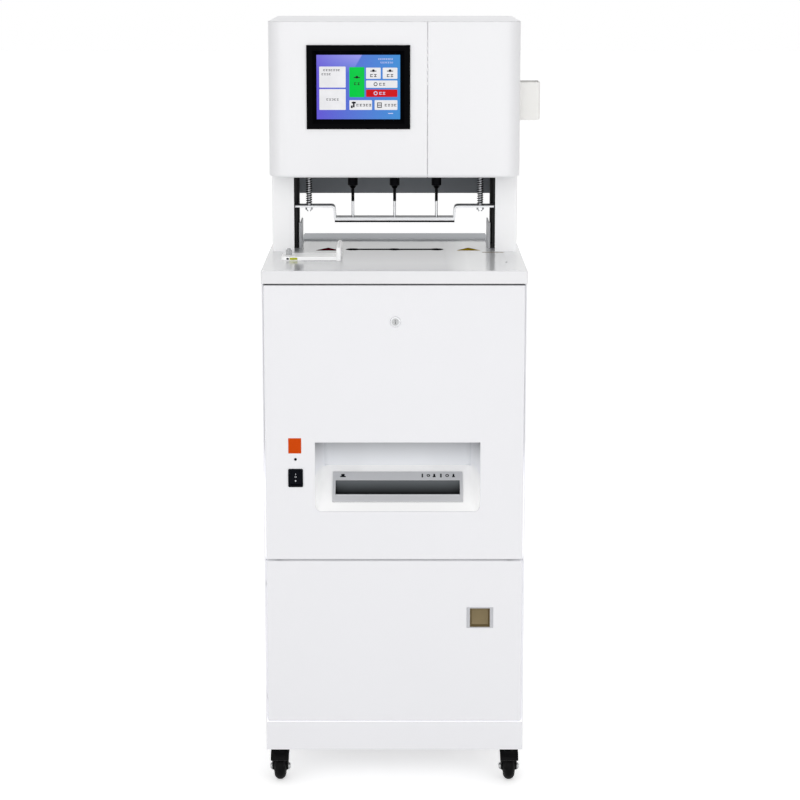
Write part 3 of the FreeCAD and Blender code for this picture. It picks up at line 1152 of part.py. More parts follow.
def caster_plates():
    """Four bolted top plates with the swivel bearing's race below each."""
    plates = []
    for x, y in caster_axes():
        plate = block(x - 22, x + 22, y - 22, y + 22, CASTER_H - 3, CASTER_H)
        plate = rounded(plate, 4.0, lambda at, way: upright(way))
        race = cone(17.0, 19.0, (x, y, CASTER_H - 3 - RACE_T), (x, y, CASTER_H - 3))
        pin_z = fork_top() - CROWN_T - RUN
        pin = rod(KING_PIN_R, (x, y, pin_z), (x, y, CASTER_H - 3))
        head = rod(KING_PIN_R + 3.5, (x, y, pin_z - 2.5), (x, y, pin_z))
        plates.append(plate.fuse([race, pin, head]).removeSplitter())
    return Part.makeCompound(plates)


def caster_axes():
    y = TABLE_D / 2 - CASTER_INSET
    return [(x, side_y) for side_y in (-y, y) for x in (-CASTER_X, CASTER_X)]


def fork_hood(x, y):
    """Cover in front of the wheel that closes the fork's crown towards the front."""
    top, under = fork_top(), fork_top() - CROWN_T
    axle_y = y - CASTER_TRAIL
    reach = WHEEL_R + 2.8
    outline = [(axle_y + 2, top), (axle_y - WHEEL_R + 9, top - 4), (axle_y - WHEEL_R + 1, top - 11),
               (axle_y - WHEEL_R - 0.5, HOOD_LOW)]
    for degrees in (43, 55, 67, 79, 90):
        angle = math.radians(degrees)
        outline.append((axle_y - reach * math.cos(angle), WHEEL_R + reach * math.sin(angle)))
    outline += [(axle_y + 6, WHEEL_R + reach), (axle_y + 6, under)]
    hood = prism([(x - HOOD_HALF, hood_y, z) for hood_y, z in outline], (2 * HOOD_HALF, 0, 0))
    return rounded(hood, 3.0, lambda at, way: abs(way.x) > 1 and at.y < axle_y - 10 and at.z > HOOD_LOW + 5)


def caster_fork(x, y):
    """Pressed fork with its hood, its axle bolt and two nuts, as one turning piece and its fasteners."""
    top = fork_top()
    half = FORK_INNER + FORK_CHEEK
    axle_y = y - CASTER_TRAIL
    crown = rod(HOOD_HALF, (x, y, top - CROWN_T), (x, y, top))
    bridge = block(x - half, x + half, axle_y, y + 12, top - CROWN_T, top)
    shapes = [bridge, fork_hood(x, y)]
    for side in (-1, 1):
        x0 = x + side * FORK_INNER
        x_low = min(x0, x0 + side * FORK_CHEEK)
        points = [(x_low, axle_y - 12, top - 6), (x_low, y + 12, top), (x_low, y + 8, top - 14),
                  (x_low, axle_y + 8, WHEEL_R - 6), (x_low, axle_y - 8, WHEEL_R - 6),
                  (x_low, axle_y - 11, WHEEL_R + 6)]
        cheek = prism(points, (FORK_CHEEK, 0, 0))
        shapes.append(rounded(cheek, 5.0, lambda at, way: abs(way.x) > 1 and at.z < WHEEL_R))
    fork = crown.fuse(shapes).removeSplitter()
    axle = rod(AXLE_R, (x - half - 4, axle_y, WHEEL_R), (x + half + 4, axle_y, WHEEL_R))
    fork = fork.cut([rod(AXLE_R, (x - 30, axle_y, WHEEL_R), (x + 30, axle_y, WHEEL_R)),
                     rod(KING_PIN_R + SLIDE, (x, y, top - 9), (x, y, top + 1))])
    nuts = [rod(6.0, (x + side * half, axle_y, WHEEL_R), (x + side * (half + 3), axle_y, WHEEL_R))
            for side in (-1, 1)]
    return Part.makeCompound([fork, axle.fuse(nuts).removeSplitter()])


def caster_wheel(x, y):
    """Black wheel with a fully rounded tread and a hub on the axle."""
    centre = V(x, y - CASTER_TRAIL, WHEEL_R)
    tread = Part.makeTorus(WHEEL_R - TREAD_R, TREAD_R, centre, V(1, 0, 0))
    hub_x = FORK_INNER - RUN
    hub = rod(HUB_R, (x - hub_x, centre.y, WHEEL_R), (x + hub_x, centre.y, WHEEL_R))
    bore = rod(AXLE_R + 0.05, (x - 30, centre.y, WHEEL_R), (x + 30, centre.y, WHEEL_R))
    return tread.fuse(hub).cut(bore).removeSplitter()


# ---- all nodes ----
def all_parts():
    parts = {
        "base_pan": base_pan(),
        "side_panels": both_sides(side_panel()),
        "rear_panel": rear_panel(),
        "inner_frame": inner_frame(),
        "mid_shelf": mid_shelf(),
        "hinge_arms": hinge_arms(),
        "table_top": table_top(),
        "rear_tray": rear_tray(),
        "drill_dies": drill_dies(),
        "pillars": pillars(),
        "guide_columns": guide_columns(),
        "rear_beam": rear_beam(),
        "head_shell": head_shell(),
        "head_floor": head_floor(),
        "head_front_cover": head_front_cover(),
        "head_right_cover": head_right_cover(),
        "screen_bezel": screen_bezel(),
        "screen_glass": screen_glass(),
        "tube_holder": tube_holder(),
        "press_motor": press_motor(),
        "drive_shaft": drive_shaft(),
        "carriage_beam": carriage_beam(),
        "drive_racks": drive_racks(),
        "spindle_motor": spindle_motor(),
        "drive_belt": drive_belt(),
        "press_plate": press_plate(),
        "press_rubber": press_rubber(),
        "guide_rods": guide_rods(),
        "press_springs": press_springs(),
        "upper_panel": upper_panel(),
        "shredder_mouth": shredder_mouth(),
        "switch_and_lamp": switch_and_lamp(),
        "power_rocker": power_rocker(),
        "lock_barrel": lock_barrel(),
        "lock_cam": lock_cam(),
        "lower_door": lower_door(),
        "door_pull": door_pull(),
        "side_guide": side_guide(),
        "clamp_knob": clamp_knob(),
        "cutter_front": cutter(0),
        "cutter_rear": cutter(1),
        "shredder_frame": shredder_frame(),
        "shredder_motor": shredder_motor(),
        "waste_bin": waste_bin(),
        "power_inlet": power_inlet(),
        "caster_plates": caster_plates(),
    }
    for name, x in zip(("left", "middle", "right"), DRILL_XS):
        parts["spindle_" + name] = spindle(x)
        parts["drill_" + name] = drill(x)
    corners = ("front_left", "front_right", "rear_left", "rear_right")
    for name, (x, y) in zip(corners, caster_axes()):
        parts["caster_fork_" + name] = caster_fork(x, y)
        parts["caster_wheel_" + name] = caster_wheel(x, y)
    return parts


def main():
    os.makedirs("parts", exist_ok=True)
    for name, shape in all_parts().items():
        placed = shape.copy()
        placed.translate(V(CENTRE_SHIFT, 0, 0))
        placed.exportStep(os.path.join("parts", name + ".step"))
        print(name, len(placed.Solids), "solids", "valid" if placed.isValid() else "INVALID")
    print("origin shift", CENTRE_SHIFT)


main()
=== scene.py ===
"""The looks of a floor-standing document riveting machine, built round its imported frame.

Every size is in metres. The machine stands on z = 0, its front faces -Y, and +X is to the right of
someone who stands before that front.
"""

import math

import bpy
from bpy.props import FloatProperty, FloatVectorProperty, IntProperty, PointerProperty
from bpy.types import NodeSocket, Operator, Panel, PropertyGroup
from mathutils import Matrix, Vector


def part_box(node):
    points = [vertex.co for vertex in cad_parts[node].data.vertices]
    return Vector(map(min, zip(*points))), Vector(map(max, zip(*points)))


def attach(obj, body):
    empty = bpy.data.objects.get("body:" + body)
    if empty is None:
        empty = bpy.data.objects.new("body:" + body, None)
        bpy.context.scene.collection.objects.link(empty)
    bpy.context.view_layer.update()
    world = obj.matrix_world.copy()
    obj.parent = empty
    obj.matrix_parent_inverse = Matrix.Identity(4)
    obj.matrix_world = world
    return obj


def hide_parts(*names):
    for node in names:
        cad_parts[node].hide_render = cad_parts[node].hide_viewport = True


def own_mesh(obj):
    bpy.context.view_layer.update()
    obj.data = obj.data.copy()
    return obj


bl_info = {
    "name": "Document Riveter Finish",
    "version": (1, 0, 0),
    "blender": (4, 5, 0),
    "location": "View3D > Sidebar > Riveter",
    "description": "Adds the finish, fasteners, labels, springs and stage of a document riveting machine",
    "category": "Object",
}

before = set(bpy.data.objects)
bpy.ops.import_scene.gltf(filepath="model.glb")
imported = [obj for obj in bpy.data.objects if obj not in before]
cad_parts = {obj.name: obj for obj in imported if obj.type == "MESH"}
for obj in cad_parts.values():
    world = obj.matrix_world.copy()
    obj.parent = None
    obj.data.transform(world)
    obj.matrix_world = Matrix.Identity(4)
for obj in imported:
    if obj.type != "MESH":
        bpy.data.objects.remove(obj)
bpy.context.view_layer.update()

CORNERS = ("front_left", "front_right", "rear_left", "rear_right")
TABLE_LOW, TABLE_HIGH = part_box("table_top")
TABLE_Z = TABLE_HIGH.z
CENTRE_X = (TABLE_LOW.x + TABLE_HIGH.x) / 2
ARM_FRONT = 0.133                          # front face of the guide's arm, behind the table's front edge
TRAY_FRONT = TABLE_HIGH.y - 0.093          # front edge of the paper tray's floor
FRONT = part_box("lower_door")[0].y          # the skin of the cabinet's two doors
MOUTH_RISE, MOUTH_RUN = 0.067, 0.090       # the sloping floor that holds the shredder's mouth
MOUTH_LEAN = math.atan2(MOUTH_RISE, MOUTH_RUN)
MOUTH_CREST, MOUTH_STAND = 0.0942, 0.0025  # the mouth's upper edge, up that floor and off its face
MOUTH_FOOT = (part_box("shredder_mouth")[1].z - MOUTH_CREST * math.sin(MOUTH_LEAN)
              - MOUTH_STAND * math.cos(MOUTH_LEAN))
RECESS_TOP = MOUTH_FOOT + 0.130            # upper edge of the recess that holds the mouth
WHITE, BLACK = (1.0, 1.0, 1.0, 1.0), (0.0, 0.0, 0.0, 1.0)


def spot(x, back, z):
    """A point this far right of the centreline, behind the table's front edge and above the floor."""
    return Vector((CENTRE_X + x, TABLE_LOW.y + back, z))


def slope_spot(along, off):
    """A point on the recess's sloping floor, this far up it from the front and off its face, at x = 0."""
    run, rise = math.cos(MOUTH_LEAN), math.sin(MOUTH_LEAN)
    return Vector((0, FRONT + along * run - off * rise, MOUTH_FOOT + along * rise + off * run))


def middle(node):
    """The middle of a node's box."""
    low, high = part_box(node)
    return (low + high) / 2


def srgb(red, green, blue):
    """A display colour of 0 to 255 a channel, as the linear values that materials take."""
    scaled = [value / 255 for value in (red, green, blue)]
    return tuple(v / 12.92 if v <= 0.04045 else ((v + 0.055) / 1.055) ** 2.4 for v in scaled)


# ---------------------------------------------------------------------------------------------
# Sizes and colours that a user may change


def length(name, description, default):
    return FloatProperty(name=name, description=description, default=default, min=0.0, precision=4,
                         unit="LENGTH")


def colour(name, description, *display):
    return FloatVectorProperty(name=name, description=description, default=srgb(*display),
                               subtype="COLOR", size=3, min=0.0, max=1.0)


class RiveterSizes(PropertyGroup):
    """Sizes of the pieces that the finish adds."""

    spring_wire: length("Spring wire", "Diameter of the press springs' wire", 0.0020)
    spring_turns: IntProperty(name="Spring turns", description="Turns of each press spring",
                              default=30, min=3)
    label_thickness: length("Label thickness", "Thickness of the stuck-on labels", 0.00025)
    key_thickness: length("Key thickness", "How far the keys stand off the screen's picture", 0.00018)
    screw_head: length("Screw head", "Diameter of the panel screws' heads", 0.0070)
    screw_rise: length("Screw rise", "How far the screws' low heads stand off the panels", 0.0009)


class RiveterColours(PropertyGroup):
    """Colours of the finish."""

    body: colour("Body", "Powder coat of the cabinet and the head", 237, 237, 240)
    covers: colour("Covers", "Moulded front covers of the head", 240, 240, 242)
    table: colour("Table", "Glossy grey face of the table", 199, 200, 203)
    tray: colour("Tray", "Grey paper tray behind the drills", 168, 172, 178)
    holder: colour("Tube holder", "Off-white plastic of the tube holder", 239, 238, 235)
    dark: colour("Black", "Black plastic of the bin and the inlet", 11, 11, 13)
    steel: colour("Steel", "Bare and plated steel", 176, 177, 178)
    silver: colour("Silver plastic", "Frame of the shredder's mouth", 220, 221, 224)
    bronze: colour("Pull", "Liner of the flush pull", 120, 105, 72)
    screen_left: colour("Screen, left", "Screen colour at the left", 92, 78, 214)
    screen_right: colour("Screen, right", "Screen colour at the right", 50, 142, 218)
    start: colour("Start key", "Tall key on the screen", 0, 208, 72)
    stop: colour("Stop key", "Wide key on the screen", 214, 20, 26)
    orange: colour("Orange label", "Label above the switch", 212, 76, 18)
    maroon: colour("Maroon mark", "Triangle at the left of the drill strip", 84, 8, 22)
    yellow: colour("Yellow mark", "Triangle at the right of the drill strip", 196, 162, 44)
    lime: colour("Lime label", "Label on the side guide", 188, 194, 54)


def sizes():
    return bpy.context.scene.riveter_sizes


def colours():
    return bpy.context.scene.riveter_colours


# ---------------------------------------------------------------------------------------------
# Modelling helpers


def fresh():
    """Leaves edit mode and deselects everything."""
    if bpy.context.object and bpy.context.object.mode != "OBJECT":
        bpy.ops.object.mode_set(mode="OBJECT")
    bpy.ops.object.select_all(action="DESELECT")


def select_only(piece):
    fresh()
    piece.select_set(True)
    bpy.context.view_layer.objects.active = piece


def settle(piece):
    """Moves a piece's place and turn into its mesh."""
    select_only(piece)
    bpy.ops.object.transform_apply(location=True, rotation=True, scale=True)
    return piece


def edit(piece, kind, test):
    """Enters edit mode with the edges or faces selected for which test is true.

    An edge is given to test as its two ends, and a face as its centre and normal.
    """
    select_only(piece)
    mesh = piece.data
    for items in (mesh.vertices, mesh.edges, mesh.polygons):
        items.foreach_set("select", [False] * len(items))
    if kind == "EDGE":
        for item in mesh.edges:
            start, end = (mesh.vertices[index].co for index in item.vertices)
            item.select = test(start, end)
    else:
        for item in mesh.polygons:
            item.select = test(item.center, item.normal)
    bpy.context.tool_settings.mesh_select_mode = [False, kind == "EDGE", kind == "FACE"]
    bpy.ops.object.mode_set(mode="EDIT")


def leave_edit():
    bpy.ops.object.mode_set(mode="OBJECT")


def everything(first, second):
    """A test that holds for every edge and face."""
    return True


def runs_along(axis):
    """A test for edges that run along an axis, 0 to 2."""
    return lambda start, end: abs((end - start).normalized()[axis]) > 0.999


def bevel(piece, test, offset, segments):
    """Bevels the edges for which test is true."""
    edit(piece, "EDGE", test)
    bpy.ops.mesh.bevel(offset=offset, segments=segments, affect="EDGES")
    leave_edit()
    return piece


def resized(piece, shares, centre):
    """Scales a piece along X, Y and Z about a centre."""
    edit(piece, "FACE", everything)
    bpy.ops.transform.resize(value=shares, center_override=centre)
    leave_edit()
    return piece


def leaned(piece, angle, centre):
    """Turns a piece about the line along X through a centre."""
    edit(piece, "FACE", everything)
    bpy.ops.transform.rotate(value=angle, orient_axis="X", center_override=centre)
    leave_edit()
    return piece


def slab(low, high):
    """A block between two corners."""
    fresh()
    bpy.ops.mesh.primitive_cube_add(size=1, location=(low + high) / 2, scale=high - low)
    return settle(bpy.context.object)


def rounded_plate(low, high, radius, axis, edge=0.0, segments=5):
    """A plate with round corners that faces the front, as axis 1, or up, as axis 2.

    With edge, the rim of its outer face is softened.
    """
    plate = bevel(slab(low, high), runs_along(axis), radius, segments)
    if edge:
        outer = low[axis] if axis < 2 else high[axis]
        bevel(plate, lambda start, end: max(abs(at[axis] - outer) for at in (start, end)) < 1e-7, edge, 2)
    return plate


def disc(centre, radius, depth, axis="Z", vertices=32):
    """A short cylinder along an axis."""
    rotation = {"X": (0, math.pi / 2, 0), "Y": (math.pi / 2, 0, 0), "Z": (0, 0, 0)}[axis]
    fresh()
    bpy.ops.mesh.primitive_cylinder_add(vertices=vertices, radius=radius, depth=depth, location=centre,
                                        rotation=rotation)
    return settle(bpy.context.object)


def ring(centre, radius, wire):
    """A ring that faces the front, with the radius of its circle and that of its wire."""
    fresh()
    bpy.ops.mesh.primitive_torus_add(major_radius=radius, minor_radius=wire, major_segments=24,
                                     minor_segments=6, location=centre, rotation=(math.pi / 2, 0, 0))
    return settle(bpy.context.object)


def apply_modifier(piece, kind, **settings):
    """Shapes a piece with a modifier, which is applied."""
    select_only(piece)
    modifier = piece.modifiers.new(kind.title(), kind)
    for key, value in settings.items():
        setattr(modifier, key, value)
    bpy.ops.object.modifier_apply(modifier=modifier.name)
    return piece


def soften(piece, width):
    """Bevels a piece's sharp edges."""
    return apply_modifier(piece, "BEVEL", width=width, segments=2, limit_method="ANGLE",
                          angle_limit=math.radians(40))


def carve(piece, cutter):
    """Cuts one piece with another, which is used up."""
    apply_modifier(piece, "BOOLEAN", object=cutter, solver="EXACT")
    bpy.data.objects.remove(cutter)
    return piece


def joined(pieces):
    """Makes several pieces one object."""
    fresh()
    for piece in pieces:
        piece.select_set(True)
    bpy.context.view_layer.objects.active = pieces[0]
    bpy.ops.object.join()
    return pieces[0]


def copied(model, offset):
    """A copy of a model with a mesh of its own, moved by an offset."""
    piece = model.copy()
    piece.data = model.data.copy()
    bpy.context.collection.objects.link(piece)
    piece.location = offset
    return settle(piece)


def finished(piece, name, body, material, angle=35):
    """Names a piece, gives it its material and smooth faces, and lets it ride on a body."""
    select_only(piece)
    bpy.ops.object.shade_smooth_by_angle(angle=math.radians(angle))
    piece.name = name
    piece.data.name = name
    piece.data.materials.clear()
    piece.data.materials.append(material)
    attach(piece, body)
    return piece


# ---------------------------------------------------------------------------------------------
# Shader helpers and groups


def feed(socket, value):
    """Gives an input a plain value, or links it to the socket that feeds it."""
    if isinstance(value, NodeSocket):
        socket.id_data.links.new(value, socket)
    else:
        socket.default_value = value


def add(tree, kind, inputs=None, **settings):
    """Adds a shader node with its inputs and settings."""
    made = tree.nodes.new("ShaderNode" + kind)
    for key, value in settings.items():
        setattr(made, key, value)
    for key, value in (inputs or {}).items():
        feed(made.inputs[key], value)
    return made


def maths(tree, operation, first, second=0.0):
    return add(tree, "Math", {0: first, 1: second}, operation=operation).outputs[0]


def product(tree, *values):
    """Multiplies two or more values."""
    total = values[0]
    for value in values[1:]:
        total = maths(tree, "MULTIPLY", total, value)
    return total


def stretch(tree, value, low, high, to_low=0.0, to_high=1.0):
    """Maps a value from one range to another, held at the ends."""
    made = add(tree, "MapRange", {"Value": value, "From Min": low, "From Max": high, "To Min": to_low,
                                  "To Max": to_high})
    return made.outputs["Result"]


def blended(tree, factor, first, second):
    """Mixes two colours."""
    return add(tree, "Mix", {0: factor, 6: first, 7: second}, data_type="RGBA").outputs[2]


def noise(tree, place, scale, detail=2.0, roughness=0.5):
    """An uneven pattern of values about a half."""
    made = add(tree, "TexNoise", {"Vector": place, "Scale": scale, "Detail": detail,
                                  "Roughness": roughness})
    return made.outputs["Fac"]


def place_of(tree):
    """The place of a point in the object's own frame."""
    return add(tree, "TexCoord").outputs["Object"]


def part_of(tree, place, axis):
    """One coordinate of a place."""
    return add(tree, "SeparateXYZ", {0: place}).outputs[axis]


def opaque(rgb):
    return (*rgb, 1.0)


SOCKETS = {"f": "NodeSocketFloat", "v": "NodeSocketVector", "c": "NodeSocketColor"}


def new_group(name, inputs, outputs):
    """An empty node group. A socket's kind is f, v or c, and an input has a default or None."""
    tree = bpy.data.node_groups.new(name, "ShaderNodeTree")
    for label, kind, default in inputs:
        socket = tree.interface.new_socket(name=label, in_out="INPUT", socket_type=SOCKETS[kind])
        if default is not None:
            socket.default_value = default
    for label, kind in outputs:
        tree.interface.new_socket(name=label, in_out="OUTPUT", socket_type=SOCKETS[kind])
    return tree, tree.nodes.new("NodeGroupInput").outputs, tree.nodes.new("NodeGroupOutput").inputs


def coat_group():
    """Sprayed or moulded surface: slight cloudiness and a fine even grain."""
    tree, given, made = new_group(
        "Coat",
        [("Vector", "v", None), ("Colour", "c", None), ("Cloud", "f", 0.03), ("Roughness", "f", 0.4),
         ("Grain Scale", "f", 900.0)],
        [("Colour", "c"), ("Roughness", "f"), ("Height", "f")])
    cloud = stretch(tree, noise(tree, given["Vector"], 3.5, detail=3.0), 0.15, 0.85)
    shade = product(tree, cloud, given["Cloud"])
    feed(made["Colour"], blended(tree, shade, given["Colour"], BLACK))
    feed(made["Roughness"], maths(tree, "ADD", given["Roughness"], product(tree, cloud, 0.04)))
    feed(made["Height"], noise(tree, given["Vector"], given["Grain Scale"], detail=1.0))
    return tree


def edge_group():
    """Finds edges with rounded normals, for highlights and wear along them."""
    tree, given, made = new_group("Edges", [("Radius", "f", 0.0006)], [("Mask", "f"), ("Normal", "v")])
    rounded = add(tree, "Bevel", {"Radius": given["Radius"]}, samples=4).outputs["Normal"]
    flat = add(tree, "NewGeometry").outputs["Normal"]
    turned = add(tree, "VectorMath", {0: rounded, 1: flat}, operation="DOT_PRODUCT")
    feed(made["Mask"], stretch(tree, turned.outputs["Value"], 0.995, 0.85))
    feed(made["Normal"], rounded)
    return tree


def brush_group():
    """Metal drawn or ground in one direction, or rolled sheet where Stretch is even."""
    tree, given, made = new_group(
        "Brushed",
        [("Vector", "v", None), ("Stretch", "v", (1.0, 1.0, 1.0)), ("Colour", "c", None),
         ("Roughness", "f", 0.3), ("Depth", "f", 0.3)],
        [("Colour", "c"), ("Roughness", "f"), ("Height", "f")])
    drawn = add(tree, "Mapping", {"Vector": given["Vector"], "Scale": given["Stretch"]}).outputs[0]
    streak = stretch(tree, noise(tree, drawn, 60.0, detail=6.0, roughness=0.7), 0.3, 0.7)
    darker = product(tree, streak, given["Depth"])
    feed(made["Colour"], blended(tree, darker, given["Colour"], BLACK))
    feed(made["Roughness"], maths(tree, "ADD", given["Roughness"], product(tree, darker, 0.5)))
    feed(made["Height"], streak)
    return tree


def dust_group():
    """A mask that gathers dust on faces that look up, in uneven patches."""
    tree, given, made = new_group("Dust", [("Vector", "v", None), ("Amount", "f", 0.2)], [("Mask", "f")])
    up = stretch(tree, part_of(tree, add(tree, "NewGeometry").outputs["Normal"], "Z"), 0.2, 0.9)
    patches = stretch(tree, noise(tree, given["Vector"], 55.0, detail=5.0), 0.4, 0.75)
    feed(made["Mask"], product(tree, up, patches, given["Amount"]))
    return tree


GROUPS = {"Coat": coat_group, "Edges": edge_group, "Brushed": brush_group, "Dust": dust_group}


def use_group(tree, name, inputs):
    """Places a shared group in a material, building it at its first use."""
    group = bpy.data.node_groups.get(name) or GROUPS[name]()
    return add(tree, "Group", inputs, node_tree=group, label=name).outputs


# ---------------------------------------------------------------------------------------------
# Materials


def surface_of(material):
    return material.node_tree.nodes["Principled BSDF"]


def tone_of(material):
    """The socket that feeds a material's base colour."""
    return surface_of(material).inputs["Base Color"].links[0].from_socket


def set_surface(material, **values):
    """Feeds the sockets of a material's surface, whose names are written with underscores."""
    for key, value in values.items():
        name = key.replace("_", " ").title().replace("Ior", "IOR")
        feed(surface_of(material).inputs[name], value)


def new_material(name):
    """A material with an empty Principled surface. Returns it, its tree and its Object coordinates."""
    material = bpy.data.materials.new(name)
    material.use_nodes = True
    return material, material.node_tree, place_of(material.node_tree)


def raised(tree, height, relief, distance, normal):
    """The normal of a surface with a fine relief."""
    return add(tree, "Bump", {"Height": height, "Strength": relief, "Distance": distance,
                              "Normal": normal}).outputs[0]


def coated(name, rgb, roughness, cloud, grain, relief, edge=0.0006, edge_wear_and_highlight=0.0, dust=0.0,
           **surface_values):
    """Paint or plastic: cloudy tone, fine grain, soft edges with a little wear and painted highlight, and
    dust where asked.
    """
    material, tree, place = new_material(name)
    coat = use_group(tree, "Coat", {"Vector": place, "Colour": opaque(rgb), "Cloud": cloud,
                                    "Roughness": roughness, "Grain Scale": grain})
    edges = use_group(tree, "Edges", {"Radius": edge})
    tone = coat["Colour"]
    # The edges are mixed towards white: a little wear and a painted highlight.
    if edge_wear_and_highlight:
        tone = blended(tree, product(tree, edges["Mask"], edge_wear_and_highlight), tone, WHITE)
    if dust:
        mask = use_group(tree, "Dust", {"Vector": place, "Amount": dust})["Mask"]
        tone = blended(tree, mask, tone, opaque(srgb(150, 146, 138)))
    set_surface(material, base_color=tone, roughness=coat["Roughness"],
                normal=raised(tree, coat["Height"], relief, 0.0002, edges["Normal"]), **surface_values)
    return material


def metal(name, rgb, roughness, depth, way=(1.0, 1.0, 1.0), relief=0.06, edge_wear_and_highlight=0.25):
    """Bare or plated metal, streaked across the directions in which way is large, with edges whitened as
    wear and painted highlight.
    """
    material, tree, place = new_material(name)
    brushed = use_group(tree, "Brushed", {"Vector": place, "Stretch": way, "Colour": opaque(rgb),
                                          "Roughness": roughness, "Depth": depth})
    edges = use_group(tree, "Edges", {"Radius": 0.0005})
    # The edges are mixed towards white: a little wear and a painted highlight.
    tone = blended(tree, product(tree, edges["Mask"], edge_wear_and_highlight), brushed["Colour"], WHITE)
    set_surface(material, base_color=tone, roughness=brushed["Roughness"], metallic=1.0,
                normal=raised(tree, brushed["Height"], relief, 0.0001, edges["Normal"]))
    return material


def above(tree, place, level):
    """A mask of what lies higher than a level."""
    fade = 0.0002
    return stretch(tree, part_of(tree, place, "Z"), level - fade, level + fade)


def behind(tree, place, plane, way=1):
    """A mask of what lies further back than a plane, or in front of it where way is -1."""
    fade = 0.0003 * way
    return stretch(tree, part_of(tree, place, "Y"), plane - fade, plane + fade)


def aside(tree, place, x):
    """How far a point lies to either side of a place across."""
    return maths(tree, "ABSOLUTE", maths(tree, "SUBTRACT", part_of(tree, place, "X"), x))


def retone(material, mask_of, rgb):
    """Mixes a second colour into a material's base colour, where mask_of(tree, place) says."""
    tree = material.node_tree
    mask = mask_of(tree, place_of(tree))
    set_surface(material, base_color=blended(tree, mask, tone_of(material), opaque(rgb)))
    return material


def glow(material, mask_of, light, strength):
    """Gives a material a weak light of its own, where mask_of(tree, place) says."""
    tree = material.node_tree
    mask = mask_of(tree, place_of(tree))
    set_surface(material, emission_color=light, emission_strength=product(tree, mask, strength))
    return material


def powder_coat(name, rgb):
    """The white coat of the sheet metal, in one of its tones."""
    return coated(name, rgb, 0.36, cloud=0.02, grain=700.0, relief=0.06)


def white_paint():
    return powder_coat("White powder coat", colours().body)


def pillar_painted_light_coat():
    # A brighter copy of the body coat for the pillars: painted light against the shade of the head above
    # them.
    return powder_coat("White powder coat, painted light", srgb(252, 252, 253))


def cabinet_coat_seam_glow():
    """The cabinet's coat, with painted light inside its narrow seams at the doors: a weak pale glow."""
    skin, door_depth = 0.0006, 0.025
    half_inside = (TABLE_HIGH.x - TABLE_LOW.x) / 2 - 0.0014

    def seams(tree, place):
        back = part_of(tree, place, "Y")
        return product(tree, maths(tree, "LESS_THAN", aside(tree, place, CENTRE_X), half_inside),
                       maths(tree, "GREATER_THAN", back, FRONT + skin),
                       maths(tree, "LESS_THAN", back, FRONT + door_depth))

    # Painted light: the seams' hidden walls glow faintly in the body colour.
    return glow(powder_coat("Cabinet coat", colours().body), seams, opaque(colours().body), 0.5)


def white_moulding():
    """Moulded plastic of the head's covers, with painted light inside the seam between them: a weak pale
    glow.
    """
    material = coated("White moulding", colours().covers, 0.30, cloud=0.012, grain=1400.0, relief=0.03,
                      edge=0.0026)
    left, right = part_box("head_front_cover"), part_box("head_right_cover")
    half_seam, skin = 0.0008, 0.0005

    def seam(tree, place):
        away = aside(tree, place, (left[1].x + right[0].x) / 2)
        inside = maths(tree, "GREATER_THAN", part_of(tree, place, "Y"), left[0].y + skin)
        return product(tree, maths(tree, "LESS_THAN", away, half_seam), inside)

    # Painted light: the seam's walls glow faintly in the cover colour.
    return glow(material, seam, opaque(colours().covers), 0.16)


def table_gloss():
    """Glossy coat: white folded edges and a light grey top, with painted shade and a painted dark
    reflection towards the tray, and a painted light reflection at the ends.
    """
    material = coated("Glossy table coat", srgb(233, 233, 235), 0.13, cloud=0.02, grain=260.0,
                      relief=0.02, coat_weight=0.1, coat_roughness=0.08)
    # Where each painted change of tone starts and ends: the shade from front to back, and the reflections
    # out from the centreline.
    rear_shade_span = (TABLE_LOW.y + 0.10, TABLE_LOW.y + 0.38)
    end_reflection_left, end_reflection_right = (-0.165, -0.200), (0.095, 0.135)

    def top(tree, place):
        return above(tree, place, TABLE_Z - 0.0004)

    def painted_rear_shade(tree, place):
        return product(tree, stretch(tree, part_of(tree, place, "Y"), *rear_shade_span), top(tree, place))

    def ends(tree, place):
        across = maths(tree, "SUBTRACT", part_of(tree, place, "X"), CENTRE_X)
        either = maths(tree, "ADD", stretch(tree, across, *end_reflection_left), stretch(tree, across, *end_reflection_right))
        return product(tree, either, top(tree, place))

    retone(material, top, colours().table)
    # Painted shade and dark reflection: the top darkens towards the tray, under the head.
    retone(material, painted_rear_shade, srgb(156, 160, 161))
    # Painted reflection of light: the top is paler towards its ends.
    return retone(material, ends, srgb(243, 244, 245))


def tray_paint():
    """Grey coat on the tray's floor, with painted light on its front edge, and white on its two cheeks."""
    material = coated("Grey tray coat", colours().tray, 0.42, cloud=0.08, grain=800.0, relief=0.12,
                      edge_wear_and_highlight=0.15)
    floor_top, front = TABLE_Z + 0.0036, TRAY_FRONT + 0.0016
    retone(material, lambda tree, place: above(tree, place, floor_top), colours().body)
    # Painted light: the floor's front edge is paler, lifting the shade on it.
    return retone(material, lambda tree, place: behind(tree, place, front, -1), srgb(214, 216, 219))


def cream_plastic():
    return coated("Cream plastic", colours().holder, 0.45, cloud=0.02, grain=1100.0, relief=0.05,
                  edge=0.0008)


